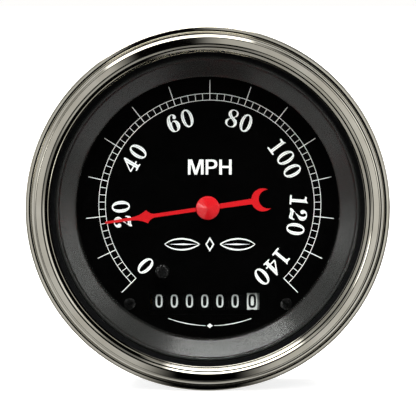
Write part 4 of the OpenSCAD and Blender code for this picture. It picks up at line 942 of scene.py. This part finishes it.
def drum_digits(name, body, x_mid, width, material):
    """All ten digits on one drum as thin raised ink."""
    points, faces = [], []
    for digit in range(10):
        base = math.radians(36 * digit)
        for line in PEN[str(digit)]:
            rows, closed = pen_strip(line, width)
            first, count = len(points), len(rows)
            for (px, py), (nx, ny) in rows:
                for edge in (1, -1):
                    a = base + (DIGIT_TALL * py + edge * ny + DIGIT_UP) / DRUM_R
                    for r in (DRUM_R - INK_IN, DRUM_R + INK_OUT):
                        points.append((x_mid + px + edge * nx, AXLE_Y - r * math.cos(a), AXLE_Z + r * math.sin(a)))
            for i in range(count if closed else count - 1):
                a, b = first + 4 * i, first + 4 * ((i + 1) % count)
                faces += [[a + 1, a + 3, b + 3, b + 1], [a, b, b + 2, a + 2], [a, a + 1, b + 1, b],
                          [a + 2, b + 2, b + 3, a + 3]]
            if not closed:
                faces += [[first + k for k in (0, 2, 3, 1)], [first + 4 * (count - 1) + k for k in (1, 3, 2, 0)]]
    return piece(name, [plain_mesh(points, faces)], material, body, 40)


WHEEL_LEFT, WHEEL_PITCH, TENTHS_X = -12.53, 3.9, 11.36
MILES_PEN, TENTHS_PEN = 0.42, 0.6
for i in range(6):
    digits = drum_digits(f"mile_digits_{i + 1}", f"miles_{i + 1}", WHEEL_LEFT + WHEEL_PITCH * i, MILES_PEN, drum_ink)
drum_digits("tenths_digits", "tenths", TENTHS_X, TENTHS_PEN, ink_black)
print("digits a wheel:", len(digits.data.polygons), "faces")

# %% [markdown]
# ## What keeps the window calm
#
# Beside the tenths digits runs the white rim that locks the carry pinions. On
# the gauge it is painted black where the window would show it, so a thin black
# band goes round it. And the window in the dial is cut larger than the digits
# need; a thin mask behind it closes the left end and the foot.

# %% Black band and window mask
band_mesh = turned_mesh([(6.2, 8.3), (6.37, 8.3), (6.37, 10.02), (6.2, 10.02)], steps=120)
# A turned mesh has its axis from front to back; this lays the axis across, on the wheels' own.
band_mesh.transform(Matrix.Translation((0, AXLE_Y * MM, AXLE_Z * MM)) @ Matrix.Rotation(math.radians(-90), 4, "Z"))
band = piece("tenths_black_band", [band_mesh], drum_black, "tenths", 40)
MASK_BACK, MASK_T = 7.93, 0.1
mask = film_mesh([[(-16.0, -28.4, 1), (14.0, -28.4, 1), (14.0, -26.32, 1), (-14.75, -26.32, 1), (-14.75, -21.4, 1),
                   (-16.0, -21.4, 1)]], lambda x, y, h: (x, MASK_BACK - h, y), MASK_T)
window_mask = piece("window_mask", [mask], dial_black, "case")
print("band:", len(band.data.polygons), "faces, mask:", len(window_mask.data.polygons), "faces")

# %% [markdown]
# ## Rolled threads at the back
#
# The cable's collar screws on a threaded snout, and the bracket goes on two
# studs. A thread is a ridge that climbs round a cylinder; the tree makes it
# from a spiral swept with a small triangle, which is how a thread is drawn on
# paper too. The ends fade because the spiral starts and stops inside the core.

# %% Thread tree
# The ridge's foot lies under the core's skin by this part of the crest.
RIDGE_FOOT = -0.35
thread_inputs = {"Core Radius": 0.0022, "Crest": 0.0002, "Pitch": 0.0008, "Start": 0.0, "Length": 0.01,
                 "Steps Per Turn": 48, "Finish": bright_zinc}
thread_tree, given = new_tree("rolled_thread", thread_inputs)
put = partial(node, thread_tree)
turns = put("ShaderNodeMath", {0: given["Length"], 1: given["Pitch"]}, operation="DIVIDE")
spiral = put("GeometryNodeCurveSpiral",
             {"Resolution": given["Steps Per Turn"], "Rotations": turns, "Start Radius": given["Core Radius"],
              "End Radius": given["Core Radius"], "Height": given["Length"]})
upright = put("GeometryNodeSetCurveNormal", {"Curve": spiral}, mode="Z_UP")
foot = put("ShaderNodeMath", {0: given["Crest"], 1: RIDGE_FOOT}, operation="MULTIPLY")
corners = {}
# The ridge's corners: how far along the pitch each lies, and at what height.
for label, share, height in (("Point 1", 0.44, foot), ("Point 2", 0.07, given["Crest"]),
                             ("Point 3", -0.07, given["Crest"]), ("Point 4", -0.44, foot)):
    along = put("ShaderNodeMath", {0: given["Pitch"], 1: share}, operation="MULTIPLY")
    corners[label] = put("ShaderNodeCombineXYZ", {"X": height, "Y": along})
ridge = put("GeometryNodeCurvePrimitiveQuadrilateral", corners, mode="POINTS")
swept = put("GeometryNodeCurveToMesh", {"Curve": upright, "Profile Curve": ridge, "Fill Caps": True})
start = put("ShaderNodeCombineXYZ", {"Y": given["Start"]})
laid = put("GeometryNodeTransform", {"Geometry": swept, "Rotation": (math.radians(-90), 0, 0), "Translation": start})
close_tree(thread_tree, laid, given["Finish"])
print("thread tree:", len(thread_tree.nodes), "nodes")


# %% Cable snout
def thread(core, crest, pitch, start, length, steps, spot=Matrix.Identity(4)):
    """One thread as a plain mesh, with its sizes in millimetres."""
    sizes = {"Core Radius": core * MM, "Crest": crest * MM, "Pitch": pitch * MM, "Start": start * MM,
             "Length": length * MM, "Steps Per Turn": steps}
    return grown(thread_tree, thread_inputs | sizes, spot)


snout_outline = [(3.2, 50.5), (6.0, 50.5), (6.0, 53.2), (10.45, 53.2), (10.54, 53.29), (10.54, 54.6), (10.44, 54.7),
                 (7.5, 54.7), (7.38, 54.9), (7.38, 67.2), (6.9, 67.9), (6.8, 68.0), (4.35, 68.0), (4.2, 67.85),
                 (4.2, 62.5), (3.2, 62.5)]
snout = lathe("cable_snout", snout_outline, bright_zinc, "case", steps=128, sharp=35)
snout_thread = piece("cable_snout_thread", [thread(7.4, 0.53, 1.411, 55.5, 11.6, 72)], bright_zinc, "case", 25)
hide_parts("cable_ferrule")
print("snout thread reach:", [round(v / MM, 2) for v in snout_thread.dimensions])

# %% Bracket studs
STUD_X = 25.4
stud_outline = [(0, 51.0), (4.14, 51.0), (4.2, 51.06), (4.2, 52.0), (2.8, 52.0), (2.8, 53.2), (2.1, 53.2),
                (2.1, 70.4), (1.6, 71.1), (1.5, 71.2), (0, 71.2)]
studs = piece("bracket_stud_pair", [turned_mesh(stud_outline, (x, 0.0), 64) for x in (-STUD_X, STUD_X)],
              bright_zinc, "case", 35)
stud_threads = piece("bracket_stud_threads", [
    thread(2.12, 0.27, 0.794, 54.0, 16.2, 40, Matrix.Translation((x * MM, 0, 0))) for x in (-STUD_X, STUD_X)],
    bright_zinc, "case", 25)
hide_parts("bracket_studs")
print("studs:", len(studs.data.polygons), "faces, threads:", len(stud_threads.data.polygons))

# %% Frame screws at the back of the can
CAN_BACK = 53.2
frame_screws = set_screws("frame_screw_set", {
    "Head Radius": 2.8 * MM, "Head Height": 1.6 * MM, "Slot Width": 0.8 * MM, "Slot Depth": 0.9 * MM,
    "Shank Radius": 1.45 * MM, "Shank Length": 7.2 * MM, "Finish": bright_zinc},
    [(0, 17, 15), (-14, -20, 70), (14, -20, -35)], 1, CAN_BACK)
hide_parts("frame_screws")
print("frame screws:", len(frame_screws.data.polygons), "faces")

# %% [markdown]
# ## Studio
#
# The gauge stands on a plain pale floor that glows a little, which keeps its
# shadow light. Chrome needs something to mirror, so the room is a tent of white
# cloth with dark cards, which is how photographers shape a polished ring. The
# cloth is dark round the lens and grows brighter to the side; black cards stand
# above and below the lens, a wide one on the far right, and a bright softbox
# hangs overhead. Small patches of the cloth light or shade the shroud's glossy
# face, and one small lamp from the left gives the hub cap its streak. All of it
# is drawn by direction in the world shader: one angle away from the gauge's
# axis and one angle round it. To the camera itself the room is plain white.

# %% Floor
FLOOR_R, FLOOR_Z = 12000, -46.6
floor_material, floor_tree = new_finish("pale_studio_floor")
mottle = node(floor_tree, "ShaderNodeTexNoise", {"Vector": object_millimetres(floor_tree), "Scale": 0.004})
floor_shader = node(floor_tree, "ShaderNodeBsdfPrincipled", {
    "Base Color": two_tone(floor_tree, mottle, "F7F7F6", "F4F4F3"), "Roughness": 0.9, "Specular IOR Level": 0.1,
    "Emission Color": linear("FFFFFF"), "Emission Strength": 0.66})
node(floor_tree, "ShaderNodeOutputMaterial", {"Surface": floor_shader})
rim = [2 * math.pi * i / 64 for i in range(64)]
floor = new_object("studio_floor", plain_mesh([(FLOOR_R * math.cos(a), FLOOR_R * math.sin(a), FLOOR_Z) for a in rim],
                                              [list(range(64))]))
floor.data.materials.append(floor_material)
floor.visible_glossy = floor.visible_transmission = False
print("floor at", FLOOR_Z, "mm")

# %% Tent of light, by direction
world = bpy.data.worlds.new("white_tent")
bpy.context.scene.world = world
world.use_nodes = True
world.node_tree.nodes.clear()
put = partial(node, world.node_tree)
x, y, z = put("ShaderNodeSeparateXYZ", {0: put("ShaderNodeTexCoord").outputs["Generated"]}).outputs
# Both angles are in degrees: one from the gauge's axis, one round it from the right.
cosine = put("ShaderNodeMath", {0: y, 1: -1.0}, operation="MULTIPLY")
off_axis, round_axis = [
    put("ShaderNodeMath", {0: angle, 1: math.degrees(1)}, operation="MULTIPLY")
    for angle in (put("ShaderNodeMath", {0: cosine}, operation="ARCCOSINE"),
                  put("ShaderNodeMath", {0: z, 1: x}, operation="ARCTAN2"))]


def window(value, start, end, soft):
    """One between two angles and zero outside, with soft edges."""
    rise, fall = [put("ShaderNodeMapRange", {"Value": value, "From Min": at - soft, "From Max": at + soft,
                                             "To Min": low, "To Max": 1 - low}, interpolation_type="SMOOTHSTEP")
                  for at, low in ((start, 0), (end, 1))]
    return put("ShaderNodeMath", {0: rise, 1: fall}, operation="MULTIPLY")


def patch(around, off):
    """A patch of the tent; around and off each give start, end and softness, in degrees."""
    return put("ShaderNodeMath", {0: window(round_axis, *around), 1: window(off_axis, *off)}, operation="MULTIPLY")


print("nodes for the two angles:", len(world.node_tree.nodes))

# %% The tent's cloth, cards and boxes
# The cloth's light, from the axis outwards: where it changes, and by how much.
level = 0.005
for start, end, change in ((10, 17, 0.125), (24, 36, 0.49), (64, 76, -0.2), (100, 120, 0.3)):
    step = put("ShaderNodeMapRange", {"Value": off_axis, "From Min": start, "From Max": end, "To Max": change},
               interpolation_type="SMOOTHSTEP")
    level = put("ShaderNodeMath", {0: level, 1: step}, operation="ADD")
# It grows to both sides, and more to the right.
squared = put("ShaderNodeMath", {0: x, 1: x}, operation="MULTIPLY")
sideways = put("ShaderNodeMath", {0: x, 1: 0.12, 2: 1.0}, operation="MULTIPLY_ADD")
sideways = put("ShaderNodeMath", {0: squared, 1: 0.5, 2: sideways}, operation="MULTIPLY_ADD")
level = put("ShaderNodeMath", {0: level, 1: sideways}, operation="MULTIPLY")
# Black cards: above the lens, below it, and the wide one on the right.
cards = 0.0
for around, off in (((90, 122, 7), (16, 60, 4)), ((-108, -74, 8), (16, 72, 4)), ((-75, 64, 7), (74, 114, 4))):
    cards = put("ShaderNodeMath", {0: cards, 1: patch(around, off)}, operation="MAXIMUM")
bare = put("ShaderNodeMath", {0: 1.0, 1: cards}, operation="SUBTRACT")
level = put("ShaderNodeMath", {0: level, 1: bare}, operation="MULTIPLY")
# Patches that light or shade the shroud, then the softbox overhead and the small lamp for the cap.
for around, off, change in (
        ((-30, -6, 6), (56, 82, 4), -0.42), ((48, 68, 6), (56, 82, 4), -0.45), ((134, 154, 6), (56, 82, 4), -0.32),
        ((-176, -155, 6), (56, 82, 4), -0.4), ((6, 38, 6), (56, 68, 4), 0.9), ((163, 177, 6), (56, 68, 4), 0.8),
        ((-80, 96, 6), (26, 41, 4), -0.55), ((76, 126, 3), (58, 122, 3), 4.8), ((158, 174, 4), (29, 41, 3), 4.2)):
    level = put("ShaderNodeMath", {0: patch(around, off), 1: change, 2: level}, operation="MULTIPLY_ADD")
    level = put("ShaderNodeMath", {0: level, 1: 0.0}, operation="MAXIMUM")
seen = put("ShaderNodeLightPath").outputs["Is Camera Ray"]
strength = put("ShaderNodeMix", {"Factor": seen, "A": level, "B": 1.0})
light = put("ShaderNodeBackground", {"Color": linear("FFFEFC"), "Strength": strength})
put("ShaderNodeOutputWorld", {"Surface": light})
print("tent nodes:", len(world.node_tree.nodes))


# %% Lamps
def panel(name, place, size, watts):
    """A soft panel light that points at the gauge; mirrors don't show it."""
    lamp = bpy.data.lights.new(name, "AREA")
    lamp.shape, lamp.size, lamp.size_y, lamp.energy = "RECTANGLE", size[0], size[1], watts
    made = new_object(name, lamp)
    made.location = place
    made.rotation_euler = (-Vector(place)).to_track_quat("-Z", "Y").to_euler()
    made.visible_glossy = made.visible_transmission = False


panel("front_fill", (0.0, -2.2, 0.35), (1.6, 1.6), 62)
panel("top_key", (0.1, -0.75, 1.0), (0.7, 0.5), 22)
sky = bpy.data.lights.new("sky_sun", "SUN")
sky.energy, sky.angle = 1.6, math.radians(50)
new_object("sky_sun", sky).visible_glossy = False

# %% [markdown]
# ## Camera
#
# The portrait was taken with a long lens, nearly straight on and a touch from
# above. A long lens from far off keeps the ring round.

# %% Camera
camera_data = bpy.data.cameras.new("portrait")
camera_data.sensor_width, camera_data.lens = 36.0, 543.3
camera_data.clip_start, camera_data.clip_end = 0.05, 40.0
camera = new_object("portrait", camera_data)
bpy.context.scene.camera = camera
aim = Vector((0.08, -1.5, 0.14)) * MM
lift, swing, distance = math.radians(2.3), math.radians(0.4), 1.6
back = Vector((math.sin(swing) * math.cos(lift), -math.cos(swing) * math.cos(lift), math.sin(lift)))
camera.location = aim + back * distance
camera.rotation_euler = (-back).to_track_quat("-Z", "Y").to_euler()
bpy.context.scene.view_settings.view_transform = "Standard"
print("camera at", [round(v, 3) for v in camera.location], "m")
